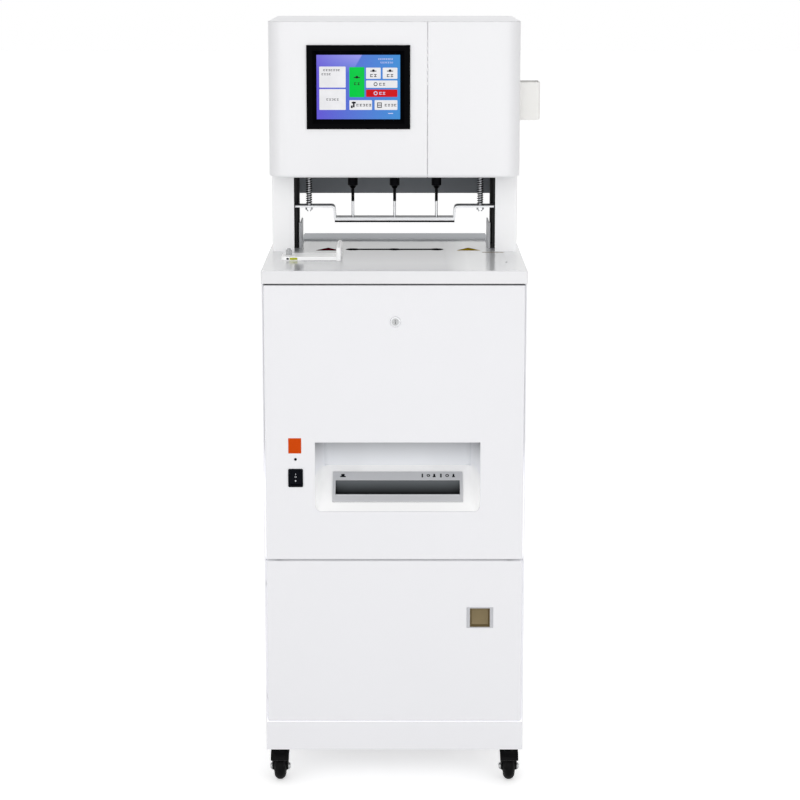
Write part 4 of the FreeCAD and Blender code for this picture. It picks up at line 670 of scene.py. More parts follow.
def recess_coat_painted_light():
    """The panel's coat, with painted light and shade in the moulded recess: a brighter white with a weak
    glow, painted shade on its walls, and a painted shadow under its upper lip.
    """
    material = powder_coat("Front panel coat", colours().body)
    crease = MOUTH_FOOT + MOUTH_RISE
    back = FRONT + 0.0830
    shade_height, shade_curve, shade_depth = 0.063, 1.8, 0.78

    def inside(tree, place):
        return behind(tree, place, FRONT + 0.0012)

    def painted_shade_side_walls(tree, place):
        return product(tree, inside(tree, place), above(tree, place, crease))

    def painted_shade_back_wall(tree, place):
        return product(tree, behind(tree, place, back), above(tree, place, crease))

    def painted_lip_shadow(tree, place):
        rise = stretch(tree, part_of(tree, place, "Z"), RECESS_TOP - shade_height, RECESS_TOP)
        return product(tree, maths(tree, "POWER", rise, shade_curve), shade_depth,
                       behind(tree, place, FRONT + 0.0016))

    # Painted light in the recess, then painted shade on its side and back walls.
    retone(material, inside, srgb(253, 253, 253))
    retone(material, painted_shade_side_walls, srgb(238, 239, 243))
    retone(material, painted_shade_back_wall, srgb(222, 224, 228))
    # Painted shadow under the recess's upper lip.
    retone(material, painted_lip_shadow, srgb(80, 82, 86))
    # Painted light: the recess glows weakly in its own tone.
    return glow(material, inside, tone_of(material), 0.12)


def switch_black():
    return coated("Switch black", srgb(5, 7, 15), 0.5, cloud=0.2, grain=1300.0, relief=0.08,
                  edge_wear_and_highlight=0.02, specular_ior_level=0.05)


def black_plastic():
    return coated("Black plastic", colours().dark, 0.55, cloud=0.3, grain=1300.0, relief=0.15,
                  edge_wear_and_highlight=0.02, specular_ior_level=0.15)


def bezel_gloss():
    return coated("Screen bezel", srgb(2, 2, 4), 0.2, cloud=0.1, grain=1200.0, relief=0.02, edge=0.0007,
                  specular_ior_level=0.02)


def black_enamel():
    return coated("Black enamel", srgb(12, 12, 14), 0.34, cloud=0.2, grain=600.0, relief=0.08,
                  edge_wear_and_highlight=0.02, specular_ior_level=0.2)


def coil_black():
    return coated("Blackened spring wire", srgb(8, 8, 9), 0.5, cloud=0.2, grain=1600.0, relief=0.05,
                  edge=0.0002, specular_ior_level=0.1)


def dark_beam():
    return coated("Dark beam coat", srgb(128, 132, 137), 0.5, cloud=0.15, grain=700.0, relief=0.08,
                  edge_wear_and_highlight=0.05, specular_ior_level=0.3)


def pull_silver():
    return coated("Pull silver", srgb(186, 187, 191), 0.38, cloud=0.04, grain=1500.0, relief=0.06,
                  edge_wear_and_highlight=0.4, metallic=0.3)


def silver_plastic(name="Silver plastic"):
    # The whitened edges are a painted highlight along the frame's edges.
    return coated(name, colours().silver, 0.38, cloud=0.04, grain=1500.0, relief=0.06, edge_wear_and_highlight=0.4,
                  metallic=0.15)


def mouth_plastic():
    """Silver frame whose throat, under its sloping face, is painted black as painted shade in the slot."""
    black_at, silver_at = 0.0002, 0.0018

    def throat(tree, place):
        up = maths(tree, "SUBTRACT", part_of(tree, place, "Z"), MOUTH_FOOT)
        back = maths(tree, "SUBTRACT", part_of(tree, place, "Y"), FRONT)
        off_slope = maths(tree, "SUBTRACT", product(tree, up, math.cos(MOUTH_LEAN)),
                          product(tree, back, math.sin(MOUTH_LEAN)))
        return stretch(tree, off_slope, silver_at, black_at)

    # Painted shade: the throat's walls turn black below the sloping face.
    return retone(silver_plastic("Silver mouth"), throat, srgb(16, 18, 20))


def throat_guide_painted_shade():
    """Dark guide plate with painted shade that gets blacker towards its lower end."""
    material = coated("Throat guide", srgb(104, 108, 111), 0.6, cloud=0.1, grain=900.0, relief=0.1,
                      specular_ior_level=0.05)
    top = slope_spot(0.0735, 0).z
    black_at = top - 0.022
    # Painted shade: the plate turns black down the slot.
    return retone(material, lambda tree, place: stretch(tree, part_of(tree, place, "Z"), top, black_at),
                  srgb(6, 8, 10))


def rubber():
    return coated("Black rubber", srgb(14, 14, 15), 0.72, cloud=0.3, grain=1600.0, relief=0.3, dust=0.06,
                  specular_ior_level=0.15)


def tread_rubber():
    return coated("Tread rubber", srgb(4, 4, 5), 0.5, cloud=0.35, grain=900.0, relief=0.35, dust=0.02,
                  edge_wear_and_highlight=0.05, specular_ior_level=0.08)


def galvanised():
    """Zinc-coated sheet with its crystal spangle."""
    material, tree, place = new_material("Galvanised sheet")
    flakes = add(tree, "TexVoronoi", {"Vector": place, "Scale": 110.0, "Randomness": 1.0})
    flake = add(tree, "SeparateColor", {0: flakes.outputs["Color"]}).outputs[0]
    edges = use_group(tree, "Edges", {"Radius": 0.0006})
    tone = blended(tree, flake, opaque(srgb(150, 153, 157)), opaque(srgb(182, 185, 188)))
    set_surface(material, base_color=tone, roughness=stretch(tree, flake, 0.0, 1.0, 0.34, 0.52),
                normal=edges["Normal"], metallic=0.85)
    return material


def bright_steel():
    return metal("Bright steel", colours().steel, 0.26, depth=0.2)


def brushed_plate():
    return metal("Brushed plate", srgb(203, 204, 206), 0.34, depth=0.16, way=(0.5, 22.0, 22.0))


def cast_metal():
    return metal("Cast aluminium", srgb(148, 150, 152), 0.46, depth=0.3, way=(2.5, 2.5, 2.5), relief=0.3)


def chrome():
    return metal("Chrome", srgb(205, 206, 208), 0.12, depth=0.1, relief=0.02)


def knurled_steel():
    """Pale plated steel with darker grooves down its side."""
    return metal("Knurled steel", srgb(205, 206, 208), 0.4, depth=0.6, way=(40.0, 40.0, 0.2))


def guide_white_glow():
    """Bright white plastic of the side guide, with painted light: a weak white glow."""
    return coated("Guide white", srgb(254, 254, 254), 0.32, cloud=0.012, grain=1400.0, relief=0.03,
                  emission_color=WHITE, emission_strength=0.10)


def drill_steel():
    return metal("Ground drill steel", srgb(206, 207, 209), 0.3, depth=0.15, way=(0.5, 0.5, 18.0))


def cutter_steel_painted_dark():
    # Painted shade: the cutters are darkened to near black, where the slot's shade falls on them.
    return metal("Cutter steel, darkened as painted shade", srgb(26, 27, 30), 0.55, depth=0.3, way=(0.5, 9.0, 9.0),
                 edge_wear_and_highlight=0.02)


def spindle_black():
    """Blackened chuck and drill holder, with the turning lines of the lathe."""
    return metal("Blackened spindle", srgb(17, 17, 19), 0.42, depth=0.3, way=(0.4, 0.4, 14.0),
                 edge_wear_and_highlight=0.06)


def plated_rod():
    """Bright cap nuts under the press plate, and duller rods above it."""
    material = metal("Plated rod", srgb(236, 237, 239), 0.42, depth=0.08, way=(0.5, 0.5, 9.0))
    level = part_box("press_plate")[1].z - 0.001
    return retone(material, lambda tree, place: above(tree, place, level), srgb(172, 173, 176))


def screen_picture():
    """The lit screen: a slanting band of violet over a violet to blue ground."""
    low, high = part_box("screen_glass")
    slant, band_edge, band_fade = 0.44, (0.112, 0.096), (0.72, 0.98)
    material, tree, place = new_material("Screen picture")
    across = stretch(tree, part_of(tree, place, "X"), low.x, high.x)
    up = stretch(tree, part_of(tree, place, "Z"), low.z, high.z)
    ground = blended(tree, across, opaque(colours().screen_left), opaque(colours().screen_right))
    left_of = maths(tree, "SUBTRACT", across, product(tree, up, slant))
    band = product(tree, stretch(tree, left_of, *band_edge), stretch(tree, up, *band_fade),
                   stretch(tree, across, 0.0, 0.5, 0.2, 0.7))
    lit = blended(tree, band, ground, opaque(srgb(172, 164, 250)))
    dots = stretch(tree, noise(tree, place, 1800.0), 0.3, 0.7, 0.0, 0.05)
    shown = blended(tree, dots, lit, WHITE)
    face = maths(tree, "LESS_THAN", part_of(tree, place, "Y"), low.y + 0.0004)
    set_surface(material, emission_color=shown, emission_strength=product(tree, face, 0.9),
                base_color=blended(tree, 0.95, shown, BLACK), roughness=0.2, specular_ior_level=0.08)
    return material


def screen_key(name, rgb):
    """A key or mark on the screen, lit from behind in a slightly uneven tone."""
    material, tree, place = new_material(name)
    patch = stretch(tree, noise(tree, place, 60.0), 0.3, 0.7, 0.0, 0.08)
    tone = blended(tree, patch, opaque(rgb), BLACK)
    set_surface(material, emission_color=tone, emission_strength=0.92,
                base_color=blended(tree, 0.95, tone, BLACK), roughness=0.25, specular_ior_level=0.05)
    return material


def printed(name, rgb):
    """Printed film: flat colour with a faint unevenness and a dull surface."""
    return coated(name, rgb, 0.7, cloud=0.12, grain=1500.0, relief=0.04, edge=0.0002,
                  specular_ior_level=0.0)


def mat_black():
    return coated("Dull black mat", srgb(10, 10, 11), 0.8, cloud=0.2, grain=1500.0, relief=0.1,
                  edge=0.0002, specular_ior_level=0.0)


def bronze_liner():
    """Brown plastic with a metallic sheen."""
    return coated("Bronze liner", colours().bronze, 0.3, cloud=0.12, grain=1200.0, relief=0.04,
                  metallic=0.35)


def fork_enamel(corner):
    """Black fork whose axle ends are plated, told apart by their distance from the wheel's middle."""
    # The whitened edges are a painted highlight along the fork's curved edges.
    material = coated("Fork enamel " + corner, srgb(4, 4, 5), 0.4, cloud=0.25, grain=700.0, relief=0.1,
                      edge=0.0009, edge_wear_and_highlight=0.16, dust=0.02, specular_ior_level=0.06)
    tree = material.node_tree
    place = place_of(tree)
    cheek, axle_top = 0.0151, 0.035
    outside = maths(tree, "GREATER_THAN", aside(tree, place, middle("caster_wheel_" + corner).x), cheek)
    plated = product(tree, outside, maths(tree, "LESS_THAN", part_of(tree, place, "Z"), axle_top))
    tone = blended(tree, plated, tone_of(material), opaque(colours().steel))
    set_surface(material, base_color=tone, metallic=plated)
    return material


MATERIALS = {}


def finish_of(make, *values):
    """A material from its function, made once."""
    key = (make.__name__, *values)
    if key not in MATERIALS:
        MATERIALS[key] = make(*values)
    return MATERIALS[key]


CAD_FINISHES = {
    white_paint: ("rear_panel", "head_shell", "lower_door"),
    pillar_painted_light_coat: ("pillars",),
    cabinet_coat_seam_glow: ("base_pan", "side_panels"),
    recess_coat_painted_light: ("upper_panel",),
    white_moulding: ("head_front_cover", "head_right_cover"),
    guide_white_glow: ("side_guide",),
    table_gloss: ("table_top",),
    tray_paint: ("rear_tray",),
    cream_plastic: ("tube_holder",),
    black_plastic: ("waste_bin", "power_inlet"),
    mat_black: ("drill_dies",),
    switch_black: ("switch_and_lamp", "power_rocker"),
    bezel_gloss: ("screen_bezel",),
    screen_picture: ("screen_glass",),
    black_enamel: ("guide_columns", "shredder_motor", "spindle_motor"),
    dark_beam: ("rear_beam",),
    pull_silver: ("door_pull",),
    mouth_plastic: ("shredder_mouth",),
    rubber: ("press_rubber", "drive_belt"),
    tread_rubber: tuple("caster_wheel_" + corner for corner in CORNERS),
    galvanised: ("inner_frame", "mid_shelf", "hinge_arms", "head_floor", "shredder_frame"),
    bright_steel: ("drive_racks", "drive_shaft", "caster_plates", "press_springs", "lock_cam"),
    cutter_steel_painted_dark: ("cutter_front", "cutter_rear"),
    plated_rod: ("guide_rods",),
    brushed_plate: ("press_plate",),
    cast_metal: ("carriage_beam", "press_motor"),
    chrome: ("lock_barrel",),
    knurled_steel: ("clamp_knob",),
    spindle_black: ("spindle_left", "spindle_middle", "spindle_right"),
    drill_steel: ("drill_left", "drill_middle", "drill_right"),
}


# ---------------------------------------------------------------------------------------------
# Operators, one for each piece or group of like pieces


class RIVETER_OT_cad_finish(Operator):
    """Give every piece of the frame its material"""

    bl_idname = "riveter.cad_finish"
    bl_label = "Finish the Frame"

    def paint(self, node, material):
        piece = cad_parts[node]
        if not piece.material_slots:
            piece.data.materials.append(material)
        for slot in piece.material_slots:
            slot.material = material

    def execute(self, context):
        for make, nodes in CAD_FINISHES.items():
            for node in nodes:
                self.paint(node, finish_of(make))
        for corner in CORNERS:
            self.paint("caster_fork_" + corner, finish_of(fork_enamel, corner))
        return {"FINISHED"}


class RIVETER_OT_screen_keys(Operator):
    """Add the keys and plain symbols to the screen"""

    bl_idname = "riveter.screen_keys"
    bl_label = "Screen Keys"

    # Places on the screen are shares of the picture, across from its left and down from its top.
    # A key is its left, right, top and bottom edge.
    WHITE_KEYS = ((0.032, 0.348, 0.181, 0.507), (0.032, 0.348, 0.531, 0.855), (0.592, 0.767, 0.198, 0.371),
                  (0.791, 0.967, 0.198, 0.371), (0.592, 0.967, 0.397, 0.511), (0.392, 0.663, 0.703, 0.855),
                  (0.694, 0.967, 0.703, 0.855))
    START_KEY = (0.392, 0.572, 0.190, 0.656)
    STOP_KEY = (0.592, 0.967, 0.537, 0.653)
    # A row is its middle, its number of blocks and their height.
    DARK_ROWS = ((0.180, 0.236, 7, 0.034), (0.115, 0.300, 4, 0.034), (0.190, 0.692, 5, 0.036),
                 (0.680, 0.320, 2, 0.052), (0.879, 0.320, 2, 0.052), (0.785, 0.454, 2, 0.048),
                 (0.565, 0.780, 5, 0.044), (0.885, 0.780, 4, 0.044), (0.482, 0.447, 2, 0.046))
    LIGHT_ROWS = ((0.785, 0.595, 2, 0.048), (0.825, 0.065, 8, 0.026), (0.840, 0.118, 7, 0.026))
    # A bar is its middle, its width and its height.
    DARK_BARS = ((0.752, 0.746, 0.052, 0.014), (0.752, 0.780, 0.052, 0.014), (0.752, 0.814, 0.052, 0.014),
                 (0.728, 0.780, 0.008, 0.082), (0.776, 0.780, 0.008, 0.082), (0.444, 0.770, 0.020, 0.090),
                 (0.444, 0.742, 0.050, 0.026), (0.420, 0.806, 0.022, 0.040))
    # A target is the middle of a ring with a block and a bar across it.
    TARGETS = ((0.680, 0.245), (0.879, 0.245), (0.482, 0.345))
    SMALL_RING, LARGE_RING = 0.0020, 0.0029

    def at(self, across, down, off):
        """A point this far in front of the picture."""
        low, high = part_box("screen_glass")
        return Vector((low.x + across * (high.x - low.x), low.y - off, high.z - down * (high.z - low.z)))

    def key(self, left, right, top, bottom, rise=1.0, radius=0.0012):
        """A raised field with round corners, rise times as thick as a key."""
        thick = sizes().key_thickness * rise
        return rounded_plate(self.at(left, bottom, thick), self.at(right, top, 0), radius, 1,
                             edge=thick / 3, segments=3)

    def bar(self, across, down, wide, tall):
        """A thin bar about its middle."""
        return self.key(across - wide / 2, across + wide / 2, down - tall / 2, down + tall / 2,
                        rise=1.6, radius=0.0002)

    def block(self, across, down, tall, stem):
        """A block in place of a letter: two bars, and a stem this far right of its middle."""
        wide, thick = tall * 0.62, tall * 0.20
        return [self.bar(across, down - tall * 0.30, wide, thick),
                self.bar(across, down + tall * 0.34, wide, thick),
                self.bar(across + stem, down, tall * 0.16, tall * 0.80)]

    def rows(self, rows):
        """Rows of blocks, whose stems stand left, in the middle and right in turn."""
        pieces = []
        for across, down, count, tall in rows:
            step, shift = tall * 0.86, tall * 0.2
            for index in range(count):
                offset = (index - (count - 1) / 2) * step
                pieces += self.block(across + offset, down, tall, (-shift, 0.0, shift)[index % 3])
        return pieces

    def flat_ring(self, across, down, radius):
        """A ring pressed flat on the picture."""
        centre = self.at(across, down, sizes().key_thickness)
        return resized(ring(centre, radius, radius * 0.24), (1, 0.15, 1), centre)

    def dark_marks(self):
        pieces = self.rows(self.DARK_ROWS)
        for across, down in self.TARGETS:
            pieces += [self.flat_ring(across, down, self.SMALL_RING), self.bar(across, down, 0.026, 0.034),
                       self.bar(across, down + 0.006, 0.074, 0.014)]
        pieces.append(self.flat_ring(0.706, 0.454, self.LARGE_RING))
        return joined(pieces + [self.bar(*bar) for bar in self.DARK_BARS])

    def light_marks(self):
        pieces = [self.flat_ring(0.706, 0.595, self.LARGE_RING), self.bar(0.885, 0.910, 0.06, 0.012)]
        return joined(pieces + self.rows(self.LIGHT_ROWS))

    def execute(self, context):
        white_keys = joined([self.key(*edges) for edges in self.WHITE_KEYS])
        made = (("screen_white_keys", "White keys", srgb(243, 243, 246), white_keys),
                ("screen_start_key", "Start key", colours().start, self.key(*self.START_KEY)),
                ("screen_stop_key", "Stop key", colours().stop, self.key(*self.STOP_KEY)),
                ("screen_dark_marks", "Dark marks", srgb(34, 32, 40), self.dark_marks()),
                ("screen_light_marks", "Light marks", srgb(214, 218, 250), self.light_marks()))
        for name, finish, rgb, piece in made:
            finished(piece, name, "root", finish_of(screen_key, finish, tuple(rgb)))
        return {"FINISHED"}


class RIVETER_OT_labels(Operator):
    """Add the plain labels and marks on the table, the guide and the front panel"""

    bl_idname = "riveter.labels"
    bl_label = "Labels"

    def upright(self, face, left, right, low, high, radius):
        """A label on a face that looks to the front, between two heights."""
        lower, upper = spot(left, 0, low), spot(right, 0, high)
        lower.y, upper.y = face - sizes().label_thickness, face
        return rounded_plate(lower, upper, radius, 1)

    def on_panel(self, left, right, low, high, radius):
        """A label on the front panel's skin."""
        return self.upright(FRONT, left, right, low, high, radius)

    def on_arm(self, left, right, low, high, radius):
        """A label on the front face of the guide's arm, between two heights above the table."""
        return self.upright(spot(0, ARM_FRONT, 0).y, left, right, TABLE_Z + low, TABLE_Z + high, radius)

    def on_table(self, left, right, front, back, radius):
        """A label that lies on the table, between two distances behind its front edge."""
        top = TABLE_Z + sizes().label_thickness
        return rounded_plate(spot(left, front, TABLE_Z), spot(right, back, top), radius, 2)

    def triangle(self, x, back, side):
        """A triangle with round corners on the table, one side to the front."""
        thick = sizes().label_thickness
        centre = spot(x, back + side * math.sqrt(3) / 6, TABLE_Z + thick / 2)
        plate = disc(centre, side / math.sqrt(3), thick, vertices=3)
        return bevel(plate, runs_along(2), side * 0.06, 4)

    def execute(self, context):
        shades = colours()
        # Places across are from the centreline, and the last number of a label is its corners' radius.
        made = (("orange_label", "Orange film", shades.orange, "front_panel", "painted_steel",
                 self.on_panel(-0.1935, -0.1698, 0.6346, 0.6630, 0.0006)),
                ("maroon_mark", "Maroon film", shades.maroon, "root", "glossy_table",
                 self.triangle(-0.1282, 0.274, 0.0465)),
                ("yellow_mark", "Yellow film", shades.yellow, "root", "glossy_table",
                 self.triangle(0.1419, 0.274, 0.0461)),
                ("brown_strip", "Brown film", srgb(120, 98, 52), "root", "glossy_table",
                 self.on_table(0.167, 0.208, 0.246, 0.250, 0.0005)),
                # A flat black oval on the guide's arm.
                ("black_oval", "Black oval", srgb(24, 24, 26), "guide", "moulded_white",
                 self.on_arm(-0.2006, -0.1958, 0.0016, 0.0050, 0.0016)),
                ("lime_label", "Lime film", shades.lime, "guide", "moulded_white",
                 self.on_arm(-0.1945, -0.1800, 0.0013, 0.0055, 0.0006)),
                ("grey_mark", "Grey film", srgb(138, 140, 144), "root", "glossy_table",
                 self.on_table(0.2052, 0.2086, 0.110, 0.117, 0.0012)))
        for name, film, rgb, body, slot, piece in made:
            finished(piece, name, body, finish_of(printed, film, tuple(rgb)))
        return {"FINISHED"}


class RIVETER_OT_drill_mat(Operator):
    """Lay a thin black mat round the drill strip, with a hole and a pad for each drill"""

    bl_idname = "riveter.drill_mat"
    bl_label = "Drill Mat"

    HALF_WIDTH, CORNER, OVERHANG = 0.0085, 0.0083, 0.002
    HOLE, PAD, BORE = 0.0130, 0.0132, 0.0052       # radii of the mat's hole, the pad and its own hole

    def execute(self, context):
        thick = sizes().label_thickness
        low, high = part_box("drill_dies")
        y = middle("drill_middle").y
        mat = rounded_plate(Vector((low.x - self.OVERHANG, y - self.HALF_WIDTH, TABLE_Z)),
                            Vector((high.x + self.OVERHANG, y + self.HALF_WIDTH, TABLE_Z + thick)),
                            self.CORNER, 2)
        pads = []
        for side in ("left", "middle", "right"):
            place = Vector((middle("drill_" + side).x, y, TABLE_Z + thick / 2))
            carve(mat, disc(place, self.HOLE, thick * 4, vertices=48))
            pad = disc(place, self.PAD, thick, vertices=48)
            pads.append(carve(pad, disc(place, self.BORE, thick * 4)))
        finished(joined([mat, *pads]), "drill_mat", "root", finish_of(mat_black))
        return {"FINISHED"}


class RIVETER_OT_switch_marks(Operator):
    """Add the on and off marks to the power rocker"""

    bl_idname = "riveter.switch_marks"
    bl_label = "Switch Marks"

    # Each mark's height above the rocker's middle, and its depth behind the rocker's foremost edge.
    BAR, RING, DOT = (0.0062, 0.00320), (0.0012, 0.00338), (-0.0059, 0.00120)
    RADIUS, RING_RADIUS, WIRE = 0.0013, 0.0014, 0.0003

    def at(self, up, depth):
        """A point on the rocker's face."""
        low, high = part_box("power_rocker")
        return Vector(((low.x + high.x) / 2, low.y + depth, (low.z + high.z) / 2 + up))

    def execute(self, context):
        bar_at, ring_at, dot_at = (self.at(*mark) for mark in (self.BAR, self.RING, self.DOT))
        bar = resized(disc(bar_at, self.RADIUS, 0.0003, "Y", vertices=4), (0.5, 1, 1), bar_at)
        dot = soften(disc(dot_at, self.RADIUS, 0.0006, "Y", vertices=20), 0.0001)
        marks = joined([bar, ring(ring_at, self.RING_RADIUS, self.WIRE), dot])
        finished(marks, "switch_marks", "rocker",
                 finish_of(printed, "White print", srgb(226, 228, 232)))
        return {"FINISHED"}


class RIVETER_OT_mouth_marks(Operator):
    """Print a row of small plain marks on the frame of the shredder's mouth"""

    bl_idname = "riveter.mouth_marks"
    bl_label = "Mouth Marks"

    # Each mark is its place across, its half width and the kind of shape it is made of.
    MARKS = ((-0.0957, 0.0052, "bars"), (0.0518, 0.0013, "stem"), (0.0630, 0.0032, "ring"),
             (0.0739, 0.0028, "bars"), (0.0863, 0.0014, "stem"), (0.0979, 0.0034, "ring"),
             (0.1097, 0.0026, "bars"))
    BELOW_CREST = 0.0098

    def bar(self, half, low, high):
        """A flat bar about x = 0."""
        return rounded_plate(Vector((-half, low, 0)), Vector((half, high, sizes().label_thickness)),
                             0.0003, 2, segments=2)

    def shape(self, half, kind):
        """One flat mark about the origin: a ring, a stem over a dot, or a bar over a foot."""
        thick = sizes().label_thickness
        centre = Vector((0, 0, thick / 2))
        if kind == "ring":
            return carve(disc(centre, half, thick, vertices=28),
                         disc(centre, half * 0.5, thick * 4, vertices=28))
        if kind == "stem":
            return joined([self.bar(half, -0.0012, 0.0042),
                           disc(centre - Vector((0, 0.0030, 0)), half * 1.2, thick)])
        return joined([self.bar(half, -0.0040, -0.0014), self.bar(half * 0.6, -0.0012, 0.0038)])

    def execute(self, context):
        crest = slope_spot(MOUTH_CREST, MOUTH_STAND)
        made = []
        for x, half, kind in self.MARKS:
            mark = self.shape(half, kind)
            mark.location = (CENTRE_X + x, crest.y - self.BELOW_CREST, crest.z)
            made.append(leaned(settle(mark), -MOUTH_LEAN, crest))
        finished(joined(made), "mouth_marks", "front_panel",
                 finish_of(printed, "Dark print", srgb(30, 32, 36)))
        return {"FINISHED"}


class RIVETER_OT_throat(Operator):
    """Add the rolled lip and the sloping guide plate inside the shredder's mouth"""

    bl_idname = "riveter.throat"
    bl_label = "Throat"

    HALF_LENGTH = 0.1148
    LIP_RADIUS, GUIDE_THICKNESS = 0.0040, 0.0010
    # Places up the recess's sloping floor and off its face.
    LIP, GUIDE_TOP, GUIDE_FOOT = (0.0378, -0.0016), (0.0733, 0.0012), (0.0500, -0.0125)

    def execute(self, context):
        x = middle("shredder_mouth").x
        lip_at = slope_spot(*self.LIP) + Vector((x, 0, 0))
        lip = soften(disc(lip_at, self.LIP_RADIUS, 2 * self.HALF_LENGTH, "X", vertices=36), 0.0003)
        finished(lip, "mouth_lip", "front_panel", finish_of(silver_plastic))
        upper, lower = slope_spot(*self.GUIDE_TOP), slope_spot(*self.GUIDE_FOOT)
        reach = (lower - upper).length
        guide = slab(Vector((x - self.HALF_LENGTH, upper.y, upper.z - reach)),
                     Vector((x + self.HALF_LENGTH, upper.y + self.GUIDE_THICKNESS, upper.z)))
        lean = math.atan2(upper.y - lower.y, upper.z - lower.z)
        soften(leaned(guide, lean, (x, upper.y, upper.z)), 0.0002)
        finished(guide, "throat_guide", "front_panel", finish_of(throat_guide_painted_shade))
        return {"FINISHED"}


class RIVETER_OT_screws(Operator):
    """Screw the rear panels on with cross-slotted pan-head screws"""

    bl_idname = "riveter.screws"
    bl_label = "Screws"

    # Each rear part, how far in from its sides the screws are, and how far up it as shares.
    ROWS = (("rear_panel", 0.012, (0.02, 0.26, 0.5, 0.74, 0.98)), ("head_shell", 0.016, (0.06, 0.94)))
    # Shares of the head's radius and of its rise.
    SLOT_LENGTH, SLOT_WIDTH = 0.62, 0.16
    SLOT_FLOOR, ROUNDING = 0.45, 0.55

    def screw(self, face):
        """One screw whose head stands off a rear face, at the frame's origin across and up."""
        radius, rise = sizes().screw_head / 2, sizes().screw_rise
        head = disc(Vector((0, face + rise / 2, 0)), radius, rise, "Y", vertices=28)
        near_top = face + rise * 0.9
        bevel(head, lambda start, end: min(start.y, end.y) > near_top, rise * self.ROUNDING, 4)
        half_long, half_wide = radius * self.SLOT_LENGTH, radius * self.SLOT_WIDTH
        floor, clear = face + rise * self.SLOT_FLOOR, face + rise * 1.5
        for across, up in ((half_long, half_wide), (half_wide, half_long)):
            carve(head, slab(Vector((-across, floor, -up)), Vector((across, clear, up))))
        return head

    def execute(self, context):
        made = []
        for node, inset, shares in self.ROWS:
            low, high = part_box(node)
            model = self.screw(high.y)
            made += [copied(model, Vector((x, 0, low.z + share * (high.z - low.z))))
                     for x in (low.x + inset, high.x - inset) for share in shares]
            bpy.data.objects.remove(model)
        finished(joined(made), "rear_screws", "root", finish_of(bright_steel))
        return {"FINISHED"}


class RIVETER_OT_press_springs(Operator):
    """Wind the two coil springs between the carriage and the press plate"""

    bl_idname = "riveter.press_springs"
    bl_label = "Press Springs"

    def coil(self, x, y, radius, low, high):
        """A wire circle swept up a screw line, with its ends closed."""
        wire, turns = sizes().spring_wire / 2, sizes().spring_turns
        fresh()
        bpy.ops.mesh.primitive_circle_add(vertices=10, radius=wire, fill_type="NOTHING",
                                          location=(radius - wire, 0, 0), rotation=(math.pi / 2, 0, 0))
        made = apply_modifier(settle(bpy.context.object), "SCREW", axis="Z", steps=22, render_steps=22,
                              iterations=turns, screw_offset=(high - low - 2 * wire) / turns,
                              use_merge_vertices=True)
        made.location = (x, y, low + wire)
        edit(settle(made), "EDGE", everything)
        bpy.ops.mesh.remove_doubles(threshold=1e-6)
        bpy.ops.mesh.fill_holes(sides=0)
        bpy.ops.mesh.normals_make_consistent(inside=False)
        leave_edit()
        return made

    def execute(self, context):
        low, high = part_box("press_springs")
        radius = (high.y - low.y) / 2
        for side, x in (("left", low.x + radius), ("right", high.x - radius)):
            made = self.coil(x, low.y + radius, radius, low.z, high.z)
            finished(made, "press_spring_" + side, "presser", finish_of(coil_black),
                     angle=60)
            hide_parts("press_springs")
            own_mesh(made)
        return {"FINISHED"}


class RIVETER_OT_pull_liner(Operator):
    """Line the flush pull with its brown cup"""

    bl_idname = "riveter.pull_liner"
    bl_label = "Pull Liner"

    SIDE, TOP, FRONT_SINK, BACK_WALL = 0.0062, 0.0017, 0.0016, 0.0018    # the pull's walls round it
    RIM, SLOPE, CUP_DEPTH = 0.0009, 0.0022, 0.0060

    def execute(self, context):
        low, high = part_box("door_pull")
        liner = slab(low + Vector((self.SIDE, self.FRONT_SINK, self.TOP)),
                     high - Vector((self.SIDE, self.BACK_WALL, self.TOP)))
        edit(liner, "FACE", lambda centre, normal: normal.y < -0.9)
        bpy.ops.mesh.inset(thickness=self.RIM)
        bpy.ops.mesh.inset(thickness=self.SLOPE, depth=-self.CUP_DEPTH)
        leave_edit()
        finished(soften(liner, 0.0004), "pull_liner", "door", finish_of(bronze_liner))
        return {"FINISHED"}


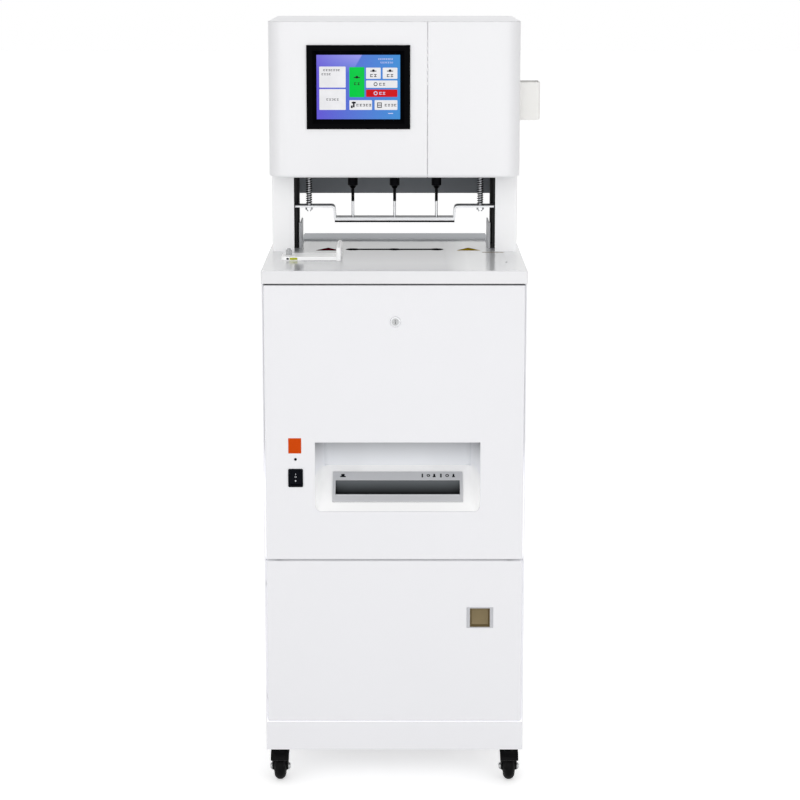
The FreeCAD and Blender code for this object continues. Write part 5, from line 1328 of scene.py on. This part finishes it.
class RIVETER_OT_stage(Operator):
    """Set up the floor, the lights and the camera"""

    bl_idname = "riveter.stage"
    bl_label = "Stage"

    # Each lamp's name, power, width and height, place and what it points at.
    LAMPS = (("key", 29.0, (2.6, 2.6), (-1.0, -4.1, 2.1), (0, 0, 1.1)),
             ("fill", 22.0, (2.6, 2.6), (1.2, -4.1, 1.4), (0, 0, 1.0)),
             ("left strip", 11.0, (0.4, 2.4), (-2.5, -2.6, 1.4), (0, 0, 1.0)),
             ("right strip", 11.0, (0.4, 2.4), (2.5, -2.6, 1.4), (0, 0, 1.0)),
             ("back", 24.0, (2.0, 2.0), (0.4, 2.2, 3.9), (0, 0, 1.0)))
    CAMERA_AWAY, CAMERA_HEIGHT, CAMERA_ASIDE, CAMERA_DOWN = 3.954, 1.541, 0.0103, 10.5
    WORLD_LIGHT, FLOOR_LIGHT = 0.55, 0.46

    def seen(self, tree):
        """A mask of the rays that show the background: the camera's, mirrored ones and those in glass."""
        rays = add(tree, "LightPath").outputs
        shown = maths(tree, "MAXIMUM", rays["Is Camera Ray"], rays["Is Glossy Ray"])
        return maths(tree, "MAXIMUM", shown, rays["Is Transmission Ray"])

    def world(self, scene):
        """White where it is seen, and a weaker white light elsewhere."""
        scene.world = bpy.data.worlds.new("studio")
        scene.world.use_nodes = True
        tree = scene.world.node_tree
        background = tree.nodes["Background"].inputs
        feed(background["Color"], WHITE)
        feed(background["Strength"], stretch(tree, self.seen(tree), 0.0, 1.0, self.WORLD_LIGHT, 1.0))

    def floor(self):
        """A wide pale floor that looks nearly white and still shows shadows."""
        fresh()
        bpy.ops.mesh.primitive_plane_add(size=60)
        floor = bpy.context.object
        floor.name = "floor"
        material, tree = new_material("Pale floor")[:2]
        set_surface(material, roughness=0.6, base_color=opaque((0.88, 0.88, 0.88)))
        plain = surface_of(material).outputs[0]
        bright = add(tree, "Emission", {"Color": WHITE, "Strength": self.FLOOR_LIGHT})
        both = add(tree, "AddShader", {0: plain, 1: bright.outputs[0]})
        shown = add(tree, "MixShader", {0: self.seen(tree), 1: plain, 2: both.outputs[0]})
        feed(tree.nodes["Material Output"].inputs["Surface"], shown.outputs[0])
        floor.data.materials.append(material)

    def lamp(self, name, energy, size, place, target):
        data = bpy.data.lights.new(name, "AREA")
        data.energy = energy
        data.shape = "RECTANGLE"
        data.size, data.size_y = size
        lamp = bpy.data.objects.new(name, data)
        bpy.context.collection.objects.link(lamp)
        lamp.location = place
        lamp.rotation_euler = (Vector(target) - Vector(place)).to_track_quat("-Z", "Y").to_euler()

    def camera(self, scene):
        """Looks along +Y and a little down, from above the head."""
        data = bpy.data.cameras.new("camera")
        data.lens = 100
        data.sensor_width = 36
        data.shift_y = -0.05
        camera = bpy.data.objects.new("camera", data)
        bpy.context.collection.objects.link(camera)
        camera.location = spot(self.CAMERA_ASIDE, -self.CAMERA_AWAY, self.CAMERA_HEIGHT)
        camera.rotation_euler = (math.radians(90 - self.CAMERA_DOWN), 0, 0)
        scene.camera = camera

    def execute(self, context):
        context.scene.view_settings.view_transform = "Standard"
        self.world(context.scene)
        self.floor()
        for lamp in self.LAMPS:
            self.lamp(*lamp)
        self.camera(context.scene)
        return {"FINISHED"}


OPERATORS = (RIVETER_OT_cad_finish, RIVETER_OT_screen_keys, RIVETER_OT_labels, RIVETER_OT_drill_mat,
             RIVETER_OT_switch_marks, RIVETER_OT_mouth_marks, RIVETER_OT_throat, RIVETER_OT_screws,
             RIVETER_OT_press_springs, RIVETER_OT_pull_liner, RIVETER_OT_stage)


class RIVETER_PT_panel(Panel):
    """Lists the steps of the finish and its sizes and colours"""

    bl_idname = "RIVETER_PT_panel"
    bl_label = "Document Riveter"
    bl_space_type = "VIEW_3D"
    bl_region_type = "UI"
    bl_category = "Riveter"

    def draw(self, context):
        layout = self.layout
        for operator in OPERATORS:
            layout.operator(operator.bl_idname)
        for group in (context.scene.riveter_sizes, context.scene.riveter_colours):
            box = layout.box()
            for key in group.__annotations__:
                box.prop(group, key)


CLASSES = (RiveterSizes, RiveterColours, *OPERATORS, RIVETER_PT_panel)


def register():
    for each in CLASSES:
        bpy.utils.register_class(each)
    bpy.types.Scene.riveter_sizes = PointerProperty(type=RiveterSizes)
    bpy.types.Scene.riveter_colours = PointerProperty(type=RiveterColours)


def unregister():
    del bpy.types.Scene.riveter_colours
    del bpy.types.Scene.riveter_sizes
    for each in reversed(CLASSES):
        bpy.utils.unregister_class(each)


def main():
    register()
    bpy.ops.riveter.cad_finish()
    bpy.ops.riveter.screen_keys()
    bpy.ops.riveter.labels()
    bpy.ops.riveter.drill_mat()
    bpy.ops.riveter.switch_marks()
    bpy.ops.riveter.mouth_marks()
    bpy.ops.riveter.throat()
    bpy.ops.riveter.screws()
    bpy.ops.riveter.press_springs()
    bpy.ops.riveter.pull_liner()
    bpy.ops.riveter.stage()


if __name__ == "__main__":
    main()
